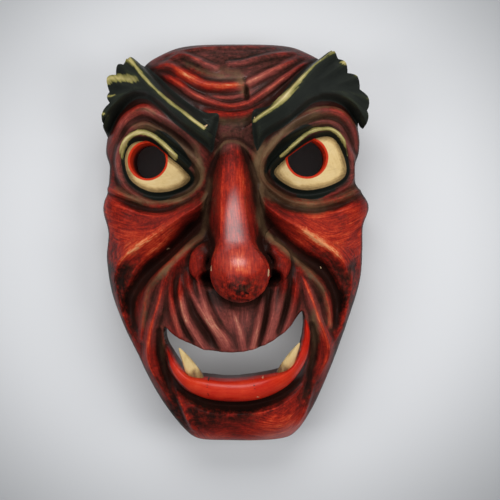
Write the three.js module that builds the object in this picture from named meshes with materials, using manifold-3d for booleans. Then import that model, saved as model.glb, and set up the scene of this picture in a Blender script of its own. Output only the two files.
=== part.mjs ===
// A carved and painted wooden demon mask, lying on its rim with the face up.
// The face is cut from one block of wood and hollowed out behind; two fangs are set into the lower lip.
// Millimetres, +Z up. The origin is at the middle of the mask's length and width, on the plane of its rim.
// +X is the viewer's right, +Y is towards the forehead.

import * as THREE from 'three';
import { mergeVertices, toCreasedNormals } from 'three/addons/utils/BufferGeometryUtils.js';
import Module from 'manifold-3d';

const wasm = await Module();
wasm.setup();

// Overall size of the mask
const maskHeight = 300;
const maskWidth = 201;
const maskDepth = 114;

// Walls and holes
const wallThickness = 17;
const rimWidth = 11;
const leftEyeHoleDiameter = 26.5;
const rightEyeHoleDiameter = 28;
const eyeHoleTaper = 2.4; // how much smaller the radius is behind than in front

// Fangs
const fangLength = 24;
const fangRootLength = 8;
const fangWidth = 11;
const fangFlatness = 0.72; // thickness as a share of the width
const fangSides = 6;
const fangClearance = 0.3;
const fangSink = 8.5; // how far the middle of a fang's base lies below the crest of the lip

// How closely the faceted surfaces follow the carving
const faceTolerance = 0.55;
const hollowTolerance = 1;
const creaseAngle = Math.PI / 5; // edges sharper than this are shaded as edges
const fieldStep = 1; // spacing of the points that the surfaces are fitted to

// The carving follows a drawing of this size, so that one unit is a millimetre at the sizes above
const drawing = { height: 300, width: 201, depth: 114 };
const across = maskWidth / drawing.width;
const along = maskHeight / drawing.height;
const out = maskDepth / drawing.depth;

// Smooth steps and joins

const clamp01 = (t) => Math.min(1, Math.max(0, t));
const lerp = (a, b, t) => a + (b - a) * t;

function smoothStep(from, to, v) {
  const t = clamp01((v - from) / (to - from));
  return t * t * (3 - 2 * t);
}

// The higher of two heights, with the inner corner between them rounded over about the blend
function smoothHigher(a, b, blend) {
  const h = Math.max(blend - Math.abs(a - b), 0) / blend;
  return Math.max(a, b) + (h * h * blend) / 4;
}

// Values spread evenly from start to end, read off at the share t of the way
function alongList(values, t) {
  const at = clamp01(t) * (values.length - 1);
  const i = Math.min(Math.floor(at), values.length - 2);
  return lerp(values[i], values[i + 1], smoothStep(0, 1, at - i));
}

// A smooth curve through [place, value] pairs, with the places in rising order
function profileCurve(pairs) {
  return (place) => {
    const last = pairs.length - 1;
    if (place <= pairs[0][0]) return pairs[0][1];
    if (place >= pairs[last][0]) return pairs[last][1];
    const i = pairs.findIndex(([p]) => p > place) - 1;
    const slope = (k) => {
      const before = pairs[Math.max(k - 1, 0)];
      const after = pairs[Math.min(k + 1, last)];
      return (after[1] - before[1]) / (after[0] - before[0]);
    };
    const span = pairs[i + 1][0] - pairs[i][0];
    const t = (place - pairs[i][0]) / span;
    return (
      (2 * t ** 3 - 3 * t * t + 1) * pairs[i][1] +
      (t ** 3 - 2 * t * t + t) * span * slope(i) +
      (3 * t * t - 2 * t ** 3) * pairs[i + 1][1] +
      (t ** 3 - t * t) * span * slope(i + 1)
    );
  };
}

// Lines and patches drawn on the face

function smoothLine(points, closed = false, stepsPerSpan = 6) {
  const curve = new THREE.CatmullRomCurve3(
    points.map(([x, y]) => new THREE.Vector3(x, y, 0)), closed, 'catmullrom', 0.5);
  const spans = closed ? points.length : points.length - 1;
  const line = curve.getPoints(spans * stepsPerSpan).map((p) => [p.x, p.y]);
  if (closed) line.pop();
  return line;
}

// The nearest place on a line: its distance, the share of the way along, and whether it is to the left
function nearestOn(line, x, y) {
  let nearest = Infinity;
  let share = 0;
  let onLeft = true;
  for (let i = 0; i + 1 < line.length; i++) {
    const [ax, ay] = line[i];
    const dx = line[i + 1][0] - ax;
    const dy = line[i + 1][1] - ay;
    const t = clamp01(((x - ax) * dx + (y - ay) * dy) / (dx * dx + dy * dy));
    const offX = x - ax - t * dx;
    const offY = y - ay - t * dy;
    const squared = offX * offX + offY * offY;
    if (squared < nearest) {
      nearest = squared;
      share = (i + t) / (line.length - 1);
      onLeft = dx * (y - ay) - dy * (x - ax) > 0;
    }
  }
  return { distance: Math.sqrt(nearest), share, onLeft };
}

// The field round a line or an outline that lies within reach of it
function fieldOf(line, reach) {
  const xs = line.map((p) => p[0]);
  const ys = line.map((p) => p[1]);
  const [left, right] = [Math.min(...xs) - reach, Math.max(...xs) + reach];
  const [low, high] = [Math.min(...ys) - reach, Math.max(...ys) + reach];
  return (x, y) => x > left && x < right && y > low && y < high;
}

// Distance from a closed outline, negative inside it, and Infinity where it is out of reach
function distanceFrom(outline, reach = Infinity) {
  const ring = [...outline, outline[0]];
  const isNear = fieldOf(outline, reach);
  return (x, y) => {
    if (!isNear(x, y)) return Infinity;
    let inside = false;
    for (let i = 0; i + 1 < ring.length; i++) {
      const [ax, ay] = ring[i];
      const [bx, by] = ring[i + 1];
      if (ay > y !== by > y && x < ((bx - ax) * (y - ay)) / (by - ay) + ax) inside = !inside;
    }
    return nearestOn(ring, x, y).distance * (inside ? -1 : 1);
  };
}

// A gouge or a ridge along a line. rise, left and right list its height and its width on each side along the
// way; crest runs from 0, softly rounded, to 1, a sharp ridge. A roll is full and round, like a lip.
function stroke({ path, rise, left, right = left, crest = 0.4, roll = false }) {
  const line = smoothLine(path);
  const isNear = fieldOf(line, Math.max(...left, ...right));
  return (x, y) => {
    if (!isNear(x, y)) return 0;
    const { distance, share, onLeft } = nearestOn(line, x, y);
    const q = distance / alongList(onLeft ? left : right, share);
    if (q >= 1) return 0;
    const section = roll ? Math.sqrt(1 - q * q) : lerp((1 - q * q) ** 2, (1 - q) ** 1.5, crest);
    return alongList(rise, share) * section;
  };
}

// A soft oval swelling, or a hollow where rise is below 0
function swelling({ at, reach, rise }) {
  return (x, y) => {
    const q = Math.hypot((x - at[0]) / reach[0], (y - at[1]) / reach[1]);
    return q < 1 ? rise * (1 - q * q) ** 2 : 0;
  };
}

// Outlines. The side outline is the plan of the block; the leaf tips of the brows stand out beyond it.

const sideOutline = smoothLine([
  [1, 148], [36, 150], [54, 147.5], [69, 133], [79.5, 116.5], [87, 101], [90.5, 84.5], [91.5, 67],
  [87.5, 54.5], [89, 43], [94.5, 35], [100.5, 26], [95.5, 12], [95, -8], [93, -29], [84, -56.5],
  [73.5, -87.5], [64, -111], [54.5, -129], [42, -147], [21, -150], [-4, -147.5], [-26, -146.5],
  [-38.5, -135], [-55.5, -113.5], [-66, -96.5], [-72, -84], [-85.5, -59.5], [-94, -38], [-98, -14],
  [-96, 6], [-100.5, 24], [-97, 35.5], [-96.5, 45], [-95, 57], [-99, 68], [-97, 82], [-90, 96],
  [-81.5, 109], [-72, 124.5], [-62.5, 140.5], [-41, 148.5],
], true, 3);

// The brows, drawn a little beyond the leaves that end them
const beyondLeftBrow = distanceFrom(smoothLine([
  [-11, 87], [-21, 89], [-38, 101], [-57, 120], [-68, 131], [-78, 142], [-94, 134], [-104, 116], [-108, 95],
  [-104, 80], [-94, 80], [-86, 92], [-77, 99], [-67, 101], [-57, 96], [-38, 78], [-22, 67], [-16, 62],
  [-13, 74],
], true, 3), 0);
const beyondRightBrow = distanceFrom(smoothLine([
  [12, 88], [23, 93], [31, 100], [43, 117], [54, 128], [64, 137], [76, 146], [92, 134], [102, 115],
  [104, 96],
  [100, 80], [92, 81], [83, 94], [75, 99], [65, 100], [54, 96], [38, 82], [22, 72], [15, 63],
], true, 3), 0);

// The leaves at the outer end of each brow, as notch, tip, notch, tip and so on, from the top down
const browLeafBase = 46; // how high above the rim the leaves start
const leftLeaves = [
  [-64, 127], [-74, 134.5], [-78.5, 124], [-85, 127], [-85, 118.5], [-96, 121], [-90.5, 107], [-94, 104],
  [-90, 99],
  [-100, 94], [-94, 78],
];
const rightLeaves = [
  [58, 131], [68.5, 138], [72.5, 128], [80.5, 127.5], [80, 119.5], [90.5, 120], [89.5, 109], [100.5, 102.5],
  [95, 94], [98, 88], [92, 80],
];

// The base form: a vaulted block, given by its height down the middle and its half width

const midlineHeight = profileCurve([
  [-150, 32], [-146, 48], [-138, 60], [-120, 69], [-100, 72], [-75, 75], [-50, 75], [-25, 70], [0, 64],
  [20, 62],
  [40, 64], [60, 70], [80, 74], [100, 71], [120, 65], [136, 56], [145, 44], [150, 30],
]);
const halfBreadth = profileCurve([
  [-150, 44], [-130, 59], [-111, 68], [-88, 78], [-60, 89], [-38, 97], [-14, 101], [24, 103], [45, 100],
  [69, 101], [85, 98], [100, 93], [117, 85], [133, 73], [150, 45],
]);
const sideHeight = 18;

function vault(x, y) {
  const q = Math.min(1, Math.abs(x) / halfBreadth(y));
  return sideHeight + (midlineHeight(y) - sideHeight) * Math.sqrt(1 - q ** 2.8);
}

const masses = [
  { at: [-57, 56], reach: [40, 34], rise: -8 }, // eye sockets
  { at: [55, 57], reach: [40, 34], rise: -8 },
  { at: [0, 114], reach: [70, 36], rise: 4 }, // forehead
  { at: [0, 80], reach: [22, 22], rise: 3 }, // between the brows
  { at: [0, -55], reach: [46, 34], rise: 6 }, // upper lip
  { at: [-22, -128], reach: [24, 20], rise: 5 }, // chin, with a cleft in the middle
  { at: [30, -130], reach: [26, 20], rise: 6 },
  { at: [-90, 27], reach: [20, 20], rise: 9 }, // cheekbones at the temples
  { at: [90, 27], reach: [20, 20], rise: 9 },
  { at: [4, -14], reach: [36, 26], rise: 5 }, // round the base of the nose
].map(swelling);

// Frown lines, which sweep down to the middle of the forehead
const frownLines = [
  { path: [[-52, 138], [-24, 141], [4, 142], [28, 143]], rise: [1, 2.5, 2.5, 1], left: [4] },
  { path: [[-50, 130], [-40, 135], [-29, 130], [-21, 125],
    [-13, 122]], rise: [1, 3, 4, 3.5, 2], left: [4.5] },
  { path: [[-4, 125], [6, 126], [17, 130], [29, 134], [43, 138]], rise: [3, 4, 4, 3, 1], left: [4] },
  { path: [[-61, 127], [-47, 126], [-37, 118], [-24, 110], [-11, 107], [5, 108]],
    rise: [1, 4, 5, 5, 5, 4], left: [5.5] },
  { path: [[10, 110], [22, 117], [35, 125], [48, 134]], rise: [4, 4.5, 4, 1], left: [4.5] },
  { path: [[-18, 101], [-6, 99], [5, 101]], rise: [0.5, 2.5, 1], left: [3] },
  { path: [[-57, 121], [-43, 113], [-29, 102], [-13, 95], [-1, 93], [10, 96], [22, 104], [34, 114],
    [47, 125], [56, 131]],
    rise: [1, 3, 4, 4, 4, 4, 4, 4, 3, 1], left: [4] },
  { path: [[-24, 91], [-12, 87], [0, 86], [12, 89], [24, 97]],
    rise: [1, 4, 5, 4, 1], left: [6], right: [5] },
  { path: [[7, 113], [8, 104], [9, 96]], rise: [-1, -4, -1], left: [2.6], crest: 0.7 }, // a split
].map(({ left, right = left, ...rest }) => stroke({ left: [...left, ...left], right: [...right,
  ...right], ...rest }));

// Brow ridges: a sharp crest with a steep slope to the forehead and a long one to the eye
const browRidges = [
  { path: [[-20, 76], [-33.5, 85.5], [-48.5, 98], [-63, 113], [-74, 126]], rise: [5, 9, 10, 10, 7],
    left: [14, 17, 22, 26, 24], right: [5, 7, 7, 7, 6], crest: 0.85 },
  { path: [[66, 130], [54, 120], [43.5, 109], [33.5, 98], [25.5, 90], [14, 82.5]],
    rise: [7, 10, 10, 10, 9, 5],
    left: [28, 28, 24, 18, 15, 12], right: [6, 7, 7, 7, 7, 5], crest: 0.85 },
].map(stroke);
const browLift = 5;
const browEdge = 5;
const browHeight = profileCurve([[0, 76], [40, 72], [60, 67], [80, 61],
  [104, 53]]); // by the distance from the middle

// Locks of hair carved on the leaves
const browLocks = [
  [[-52, 108], [-64, 119], [-76, 131]], [[-60, 108], [-72, 116], [-83, 125]],
  [[-64, 106], [-78, 110], [-91, 116]], [[-66, 103], [-79, 104], [-90, 102]], [[-70, 101], [-84, 99],
  [-96, 90]],
  [[50, 112], [61, 123], [71, 135]], [[56, 110], [69, 119], [80, 128]], [[62, 107], [76, 112], [88, 118]],
  [[64, 104], [79, 106], [94, 103]], [[68, 101], [82, 100], [94, 90]],
].map((path) => stroke({ path, rise: [0.5, 2.3, 2.8], left: [5, 5], crest: 0.6 }));

// Folds that arch over and under each eye
const eyeFolds = [
  { path: [[-90, 76], [-81, 88], [-73, 92.5], [-65, 93.5], [-57, 89], [-42, 78], [-30, 69], [-23, 60]],
    rise: [2, 4.5, 5, 5, 5, 4, 3, 1], left: [5, 5], right: [5, 5], crest: 0.3 },
  { path: [[-85, 66], [-80, 80], [-66, 87], [-54, 83], [-40, 74], [-29, 64]],
    rise: [-1, -3, -3, -3, -3, -1], left: [4, 4], crest: 0.2 },
  { path: [[-78, 76], [-66, 82], [-56, 78], [-40, 65], [-30, 57], [-25, 47], [-30, 36], [-42, 29.5],
    [-58, 28.5], [-74, 32]],
    rise: [1, 2.5, 3, 3, 3, 3, 3, 2.5, 2, 1], left: [3.6, 3.6], crest: 0.5 },
  { path: [[22, 64], [32, 73], [43, 82], [53, 88.5], [62, 92], [70, 93], [78, 91], [86, 84], [91, 74]],
    rise: [1, 3, 4, 5, 5, 5, 5, 4, 2], left: [5, 5], crest: 0.3 },
  { path: [[30, 68], [44, 80], [60, 87], [74, 86], [82, 78], [87, 66]], rise: [-1, -3, -3, -3, -3, -1],
    left: [4, 4], crest: 0.2 },
  { path: [[76, 81], [66, 84.5], [53, 81], [40, 75], [30, 69], [22, 61], [20, 51], [24, 40], [33, 32.5],
    [46, 28.5], [60, 27], [74, 31]],
    rise: [1, 2.5, 3, 3, 3, 3, 3, 3, 3, 2.5, 2, 1], left: [3.6, 3.6], crest: 0.5 },
  { path: [[-97, 40], [-84, 34], [-70, 29]], rise: [2.5, 2.5, 1], left: [3, 3], crest: 0.5 },
  { path: [[97, 40], [86, 35], [74, 30]], rise: [2.5, 2.5, 1], left: [3, 3], crest: 0.5 },
  { path: [[-95, 35], [-79, 28], [-66, 23.5], [-54, 22], [-44, 24], [-32, 30], [-24, 36]],
    rise: [-2, -4, -4, -4, -4, -3, -1], left: [4.5, 4.5], crest: 0.3 },
  { path: [[92, 33], [78, 27], [62, 22.5], [50, 22], [36, 25], [23, 33]],
    rise: [-2, -4, -4, -4, -4, -1], left: [4.5, 4.5], crest: 0.3 },
].map(stroke);

// Cheeks: a crest from beside the nose to the jaw, flat above and cut steeply down into a deep groove below
const cheeks = [
  { path: [[-17, 40], [-20, 31], [-26, 24], [-37, 17], [-52, 7], [-65, -2], [-76, -9], [-84, -16],
    [-87, -24]],
    rise: [3, 7, 10, 12, 13, 13, 12, 9, 4], left: [5, 9, 11, 13, 14, 14, 13, 9, 6],
    right: [6, 12, 18, 26, 32, 32, 30, 20, 8], crest: 0.9 },
  { path: [[80, -22], [77, -15], [70, -8], [59, 0], [50, 6], [38, 13], [29, 19], [21, 26], [17, 36]],
    rise: [4, 9, 12, 13, 13, 12, 10, 7, 3], left: [6, 9, 13, 14, 14, 13, 11, 9, 5],
    right: [8, 20, 30, 32, 32, 26, 18, 12, 6], crest: 0.9 },
  { path: [[-22, 16], [-33, 6], [-47, -9], [-60, -20], [-70, -31], [-76, -45], [-75, -62]],
    rise: [-2, -8, -11, -11, -10, -8, -4], left: [7, 9, 9, 8, 7], crest: 0.2 },
  { path: [[22, 12], [33, -1], [46, -12], [58, -20], [67, -29], [73, -43], [73, -60]],
    rise: [-2, -8, -11, -11, -10, -8, -4], left: [7, 9, 9, 8, 7], crest: 0.2 },
  { path: [[-89, -22], [-87, -32], [-84, -46], [-79, -62], [-72, -78]],
    rise: [2, 4, 5, 4, 1], left: [7, 7] },
  { path: [[84, -20], [84, -32], [81, -47], [76, -64], [70, -78]], rise: [2, 4, 5, 4, 1], left: [7, 7] },
].map(stroke);

// The fold from each side of the nose round the mouth, and the folds of the jaw
const mouthFolds = [
  { path: [[-20, 22], [-21, 5], [-29, -1], [-37, -7], [-45, -15], [-52, -22], [-59, -31], [-63, -42],
    [-65, -56], [-67, -70]],
    rise: [1, 2, 5, 6, 7, 7, 7, 6, 4, 2], left: [6, 10, 12, 10, 6], right: [4, 5, 6, 6, 5], crest: 0.6 },
  { path: [[68, -60], [65, -42], [61, -31], [55, -23], [47, -17], [39, -9], [32, -3], [25, 2], [19, 4],
    [18, 20]],
    rise: [3, 6, 7, 7, 7, 7, 6, 5, 2, 1], left: [4, 5, 6, 6, 5], right: [6, 10, 12, 10, 6], crest: 0.6 },
  { path: [[-49, -26], [-53, -42], [-59, -62], [-62, -80], [-60, -92], [-53, -104], [-45, -116]],
    rise: [1, 4, 6, 6, 5, 4, 1], left: [5, 6, 7, 6], right: [5, 6, 7, 6], crest: 0.5 },
  { path: [[46, -22], [53, -38], [59, -55], [66, -72], [67, -84], [61, -98]],
    rise: [1, 5, 6, 6, 5, 1], left: [5, 6, 6, 5], crest: 0.5 },
  { path: [[-53, -64], [-53, -80], [-50, -94],
    [-44, -112]], rise: [-2, -5, -4, -1], left: [4, 5, 4], crest: 0.2 },
  { path: [[54, -60], [57, -78], [54, -96],
    [50, -113]], rise: [-2, -5, -4, -1], left: [4, 5, 4], crest: 0.2 },
  { path: [[-42, -105], [-38.5, -114], [-34, -124], [-30, -134]], rise: [0.5, 3, 3.5, 1.5],
    left: [6, 5], right: [3.5, 3], crest: 0.5 }, // the left edge of the chin
  { path: [[56, -104], [53.5, -114], [50.5, -124], [46, -133]], rise: [0.5, 3, 3.5, 1.5],
    left: [3.5, 3], right: [6, 5], crest: 0.5 }, // and the right edge
].map(stroke);

// Flutes that fan out over the upper lip
const lipFlutes = [
  { path: [[-45, -17], [-50, -32], [-52, -50]], rise: [1, 3, 1] },
  { path: [[-42, -18], [-45, -34], [-42, -50], [-38, -66]], rise: [1, 4, 5, 4] },
  { path: [[-38, -22], [-38, -38], [-34, -54], [-27, -66], [-21, -75]], rise: [1, 5, 6, 6, 5] },
  { path: [[-34, -17], [-31, -34], [-24, -46], [-15, -60], [-7, -74]], rise: [1, 4, 5, 5, 3] },
  { path: [[-25, -30], [-21, -42], [-14, -57], [-6, -68], [-2, -76]], rise: [3, 5, 5, 4, 2] },
  { path: [[-41, -30], [-41, -44], [-36, -58], [-30, -69]], rise: [-1, -3, -3, -2] },
  { path: [[-32, -36], [-28, -50], [-19, -64], [-13, -75]], rise: [-1, -3, -4, -2] },
  { path: [[1, -52], [4, -64], [6, -76]], rise: [1, 3, 3] },
  { path: [[20, -36], [17, -55], [13, -74]], rise: [2, 5, 4] },
  { path: [[29, -30], [26, -50], [21, -71]], rise: [2, 4, 4] },
  { path: [[37, -17], [34, -34], [30, -52], [26, -68]], rise: [1, 5, 5, 4] },
  { path: [[43, -22], [42, -36], [39, -50], [34, -63]], rise: [1, 4, 5, 4] },
  { path: [[24, -36], [21, -54], [17, -72]], rise: [-1, -3, -2] },
  { path: [[39, -30], [36, -46], [31, -62]], rise: [-1, -3, -2] },
].map(({ path, rise }) => stroke({ path, rise, left: [4.8, 4.8], crest: 0.7 }));

// The lower lip, and the crease under it
const lowerLip = stroke({
  path: [[-48, -75], [-42, -88], [-33, -97], [-20, -102], [-3, -104], [13, -103], [28, -98], [40, -89],
    [48, -77], [51, -66], [50, -56]],
  rise: [1, 8, 10, 10, 10, 10, 10, 8, 6, 4, 1], left: [2, 6, 8, 8.5, 8.5, 8, 6, 3, 2], roll: true,
});
const lipCrease = stroke({
  path: [[-49, -88], [-40, -104], [-22, -114], [-3, -117], [14, -116], [31, -111], [46, -100], [55, -84]],
  rise: [-1, -4, -6, -7, -6, -4, -1], left: [5, 6, 5], crest: 0.2,
});

// Eyes: the ball lies deep inside a lid that overhangs it above and is cut back to a groove below

const leftEyeOutline = smoothLine([[-80, 55], [-79.5, 64], [-76, 70], [-69, 72.5], [-60, 70.5],
  [-50, 62.5], [-41, 55.5], [-33.5, 48],
  [-33, 44], [-38, 39.5], [-47, 36], [-58, 35], [-68, 38], [-76.5, 45]], true, 3);
const leftEye = {
  outline: leftEyeOutline, beyond: distanceFrom(leftEyeOutline, 12),
  hole: [-63, 58], ball: [-58, 52],
};
const rightEyeOutline = smoothLine([[28, 51], [35, 58.5], [44, 65.5], [52, 71], [60, 75], [68, 76],
  [73, 73], [77.5, 65], [80.5, 55],
  [80, 48], [75, 43], [64, 38.5], [52, 36.5], [41, 38.5], [31, 45]], true, 3);
const rightEye = {
  outline: rightEyeOutline, beyond: distanceFrom(rightEyeOutline, 12),
  hole: [51.5, 60], ball: [56, 53],
};
const ballHeight = 59;
const ballCurve = 8; // how far the ball falls away 34 mm from its middle
const upperLid = profileCurve([[0, -1.5], [1.6, 2.5], [3.4, 6.5], [5, 6], [8, 3]]);
const lowerLid = profileCurve([[0, -1.5], [2.5, -3], [4.6, -1.5], [6.4, 1.5], [8.5, 1]]);

function carveEye(eye, x, y, z) {
  const beyond = eye.beyond(x, y);
  if (beyond > 11) return z;
  const fromMiddle = Math.hypot(x - eye.ball[0], y - eye.ball[1]);
  const ball = ballHeight - ballCurve * (fromMiddle / 34) ** 2;
  if (beyond < 0) return ball - 1.5 * smoothStep(-2, 0, beyond);
  const lean = Math.sign(eye.ball[0]) * 0.25 * (x - eye.ball[0]);
  const upper = smoothStep(-4, 8, y - eye.ball[1] - lean);
  const lid = ball + lerp(lowerLid(beyond), upperLid(beyond), upper);
  return lerp(lid, z, smoothStep(4.5, 10.5, beyond));
}

// Nose: a flat-topped bridge that widens into a round tip, with a wing and a nostril on each side

const noseMiddle = profileCurve([[-45, 4], [-20, 3.8], [0, 1], [30, -1.5], [70, -2.5]]);
const noseHalfWidth = profileCurve([[-20, 18], [-12, 15.5], [-5, 12], [3, 9.8], [15, 8.6], [30, 7.6],
  [48, 6.5], [68, 5.5]]);
const noseHeight = profileCurve([
  [-30, 105.5], [-23, 110], [-16, 111], [-8, 108.5], [0, 104.5], [25, 96], [48, 87], [60, 82],
  [66, 79], [70, 74], [76, 66],
]);
const noseSlope = profileCurve([[-20, 9], [-6, 6], [5, 3.6], [25, 2.7], [70, 2]]);
const noseCrown = profileCurve([[-24, 5.5], [-12, 4], [0, 2], [12, 1.5]]); // how round the bridge is across
const noseEnd = -26; // the bridge ends inside the tip
const noseTip = { at: [4, -22], radius: 20, middle: 94 };
const noseWings = [
  { path: [[-14, -3], [-20.5, -6.5], [-25, -12], [-25.5, -19], [-20.5, -24.5]],
    rise: [1.5, 5.5, 8, 7.5, 4], left: [5, 6.5, 7] },
  { path: [[22, -3], [28.5, -6.5], [33, -12], [32.5, -19], [27.5, -24]],
    rise: [1.5, 5.5, 8, 7.5, 4], left: [5, 6.5, 7] },
].map((wing) => stroke({ ...wing, roll: true }));
const nostrils = [
  { at: [-17, -27], reach: [9, 7], rise: -15 },
  { at: [25.5, -26], reach: [9, 7], rise: -15 },
].map(swelling);
const bridgeCap = stroke({
  path: [[-17, 54], [-13, 61.5], [-7.5, 66.5], [-2, 68], [4, 66.5], [11, 61], [15, 54]],
  rise: [0.5, 2.5, 3, 3, 3, 2.5, 0.5], left: [3.5, 3.5], crest: 0.3,
});

function carveNose(x, y, z) {
  let height = z + bridgeCap(x, y);
  for (const form of [...noseWings, ...nostrils]) height += form(x, y);
  if (y > noseEnd && y < 76) {
    const fromMiddle = Math.abs(x - noseMiddle(y));
    const half = noseHalfWidth(y);
    const beside = Math.max(0, fromMiddle - half);
    const crown = noseCrown(y) * Math.min(1, fromMiddle / half) ** 2;
    const bridge = noseHeight(y) - crown - noseSlope(y) * beside;
    height = smoothHigher(height, bridge, 3);
  }
  const fromTip = Math.hypot(x - noseTip.at[0], (y - noseTip.at[1]) * 1.02);
  if (fromTip < noseTip.radius) {
    const tip = noseTip.middle + Math.sqrt(noseTip.radius ** 2 - fromTip ** 2);
    height = smoothHigher(height, tip, 4);
  }
  return height;
}

// The height of the carved face above the rim, all in the drawing's units

function carvedHeight(x, y) {
  let z = vault(x, y);
  for (const form of [...masses, ...cheeks, ...mouthFolds, ...lipFlutes, ...frownLines]) z += form(x, y);
  for (const beyondBrow of [beyondLeftBrow, beyondRightBrow]) {
    const within = smoothStep(0, browEdge, -beyondBrow(x, y));
    if (within > 0) z = lerp(z, Math.max(z + browLift, browHeight(Math.abs(x))), within);
  }
  for (const form of [...browRidges, ...browLocks, ...eyeFolds]) z += form(x, y);
  for (const eye of [leftEye, rightEye]) z = carveEye(eye, x, y, z);
  z += lipCrease(x, y) + lowerLip(x, y);
  return carveNose(x, y, z);
}

// Solids from surfaces and outlines

function toSolid(geometry) {
  const merged = geometry.clone();
  merged.deleteAttribute('normal');
  merged.deleteAttribute('uv');
  const closed = mergeVertices(merged, 1e-4);
  return new wasm.Manifold(new wasm.Mesh({
    numProp: 3,
    vertProperties: new Float32Array(closed.attributes.position.array),
    triVerts: new Uint32Array(closed.index.array),
  }));
}

function toGeometry(solid) {
  const mesh = solid.getMesh();
  const geometry = new THREE.BufferGeometry();
  geometry.setAttribute('position', new THREE.BufferAttribute(new Float32Array(mesh.vertProperties), 3));
  geometry.setIndex(new THREE.BufferAttribute(new Uint32Array(mesh.triVerts), 1));
  return toCreasedNormals(geometry, creaseAngle);
}

// An upright prism on an outline, from one height to another
function prism(outline, from, to) {
  const shape = new THREE.Shape(outline.map(([x, y]) => new THREE.Vector2(x, y)));
  const geometry = new THREE.ExtrudeGeometry(shape, { depth: to - from, bevelEnabled: false });
  return toSolid(geometry.translate(0, 0, from));
}

// Triangles fitted to a surface over a grid of points. It starts from two triangles over the whole field;
// the point furthest off its triangle is joined in, and the triangles round it are drawn anew (Delaunay),
// until every point that counts lies within the tolerance.
function fitTriangles(points, columns, rows, tolerance) {
  const turn = (a, b, c) => (b.i - a.i) * (c.j - a.j) - (b.j - a.j) * (c.i - a.i);
  const at = (i, j) => points[j * (columns + 1) + i];

  function isRoundPoint({ corners }, p) {
    const [a, b, c] = corners.map(({ i, j }) => [i - p.i, j - p.j, (i - p.i) ** 2 + (j - p.j) ** 2]);
    return a[2] * (b[0] * c[1] - c[0] * b[1]) - b[2] * (a[0] * c[1] - c[0] * a[1])
      + c[2] * (a[0] * b[1] - b[0] * a[1]) > 0;
  }

  function triangle(corners) {
    const [a, b, c] = corners;
    const normal = new THREE.Triangle(...corners.map((p) => p.position)).getNormal(new THREE.Vector3());
    const made = { corners, beside: [null, null, null], misfit: 0, worst: null, inUse: true };
    for (let j = Math.min(a.j, b.j, c.j); j <= Math.max(a.j, b.j, c.j); j++) {
      for (let i = Math.min(a.i, b.i, c.i); i <= Math.max(a.i, b.i, c.i); i++) {
        const p = at(i, j);
        if (!p.counts || turn(a, b, p) < 0 || turn(b, c, p) < 0 || turn(c, a, p) < 0) continue;
        const misfit = Math.abs(
          (p.position.x - a.position.x) * normal.x + (p.position.y - a.position.y) * normal.y
          + (p.position.z - a.position.z) * normal.z);
        if (misfit > made.misfit && !corners.includes(p)) Object.assign(made, { misfit, worst: p });
      }
    }
    return made;
  }

  function join(p, start) {
    const hole = new Set([start]);
    const edges = [];
    for (const old of hole) {
      old.inUse = false;
      old.beside.forEach((next, k) => {
        if (hole.has(next)) return;
        if (next && isRoundPoint(next, p)) hole.add(next);
        else edges.push({ from: old.corners[k], to: old.corners[(k + 1) % 3], next, old });
      });
    }
    const fan = edges.filter(({ old, next }) => !next || next.inUse)
      .filter(({ from, to }) => turn(from, to, p) > 0)
      .map(({ from, to, next, old }) => {
        const made = triangle([from, to, p]);
        made.beside[0] = next;
        if (next) next.beside[next.beside.indexOf(old)] = made;
        return made;
      });
    for (const made of fan) {
      made.beside[1] = fan.find((other) => other.corners[0] === made.corners[1]) ?? null;
      made.beside[2] = fan.find((other) => other.corners[1] === made.corners[0]) ?? null;
    }
    return fan;
  }

  const first = triangle([at(0, 0), at(columns, 0), at(columns, rows)]);
  const second = triangle([at(0, 0), at(columns, rows), at(0, rows)]);
  first.beside[2] = second;
  second.beside[0] = first;
  let triangles = [first, second];
  for (;;) {
    const poor = triangles.filter(({ misfit }) => misfit > tolerance).sort((a, b) => b.misfit - a.misfit);
    if (poor.length === 0) return triangles;
    for (const one of poor.slice(0, Math.ceil(poor.length / 3))) {
      if (one.inUse) triangles.push(...join(one.worst, one));
    }
    triangles = triangles.filter(({ inUse }) => inUse);
  }
}

// A solid from below the rim up to the surface heightAt, fitted where counts says that it matters
function solidUnder(heightAt, counts, tolerance) {
  const margin = 3;
  const floor = -10;
  const columns = Math.round((maskWidth + 2 * margin) / fieldStep);
  const rows = Math.round((maskHeight + 2 * margin) / fieldStep);
  const points = [];
  for (let j = 0; j <= rows; j++) {
    for (let i = 0; i <= columns; i++) {
      const x = (i / columns - 0.5) * (maskWidth + 2 * margin);
      const y = (j / rows - 0.5) * (maskHeight + 2 * margin);
      points.push({ i, j, counts: counts(x, y), position: new THREE.Vector3(x, y, heightAt(x, y)) });
    }
  }
  const positions = [];
  const top = (p) => p.position.toArray();
  const bottom = (p) => [p.position.x, p.position.y, floor];
  for (const { corners, beside } of fitTriangles(points, columns, rows, tolerance)) {
    positions.push(...corners.flatMap(top), ...[...corners].reverse().flatMap(bottom));
    beside.forEach((next, k) => {
      const [p, q] = [corners[k], corners[(k + 1) % 3]];
      if (!next) positions.push(...bottom(p), ...bottom(q), ...top(q), ...bottom(p), ...top(q), ...top(p));
    });
  }
  const geometry = new THREE.BufferGeometry();
  geometry.setAttribute('position', new THREE.Float32BufferAttribute(positions, 3));
  return toSolid(geometry);
}

const atRealSize = (outline) => outline.map(([x, y]) => [x * across, y * along]);

// An outline moved inwards by a distance
function inset(outline, distance) {
  return outline.map((p, i) => {
    const before = outline[(i + outline.length - 2) % outline.length];
    const after = outline[(i + 2) % outline.length];
    const run = new THREE.Vector2(after[0] - before[0], after[1] - before[1]).normalize();
    return [p[0] + run.y * distance, p[1] - run.x * distance];
  });
}

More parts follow.
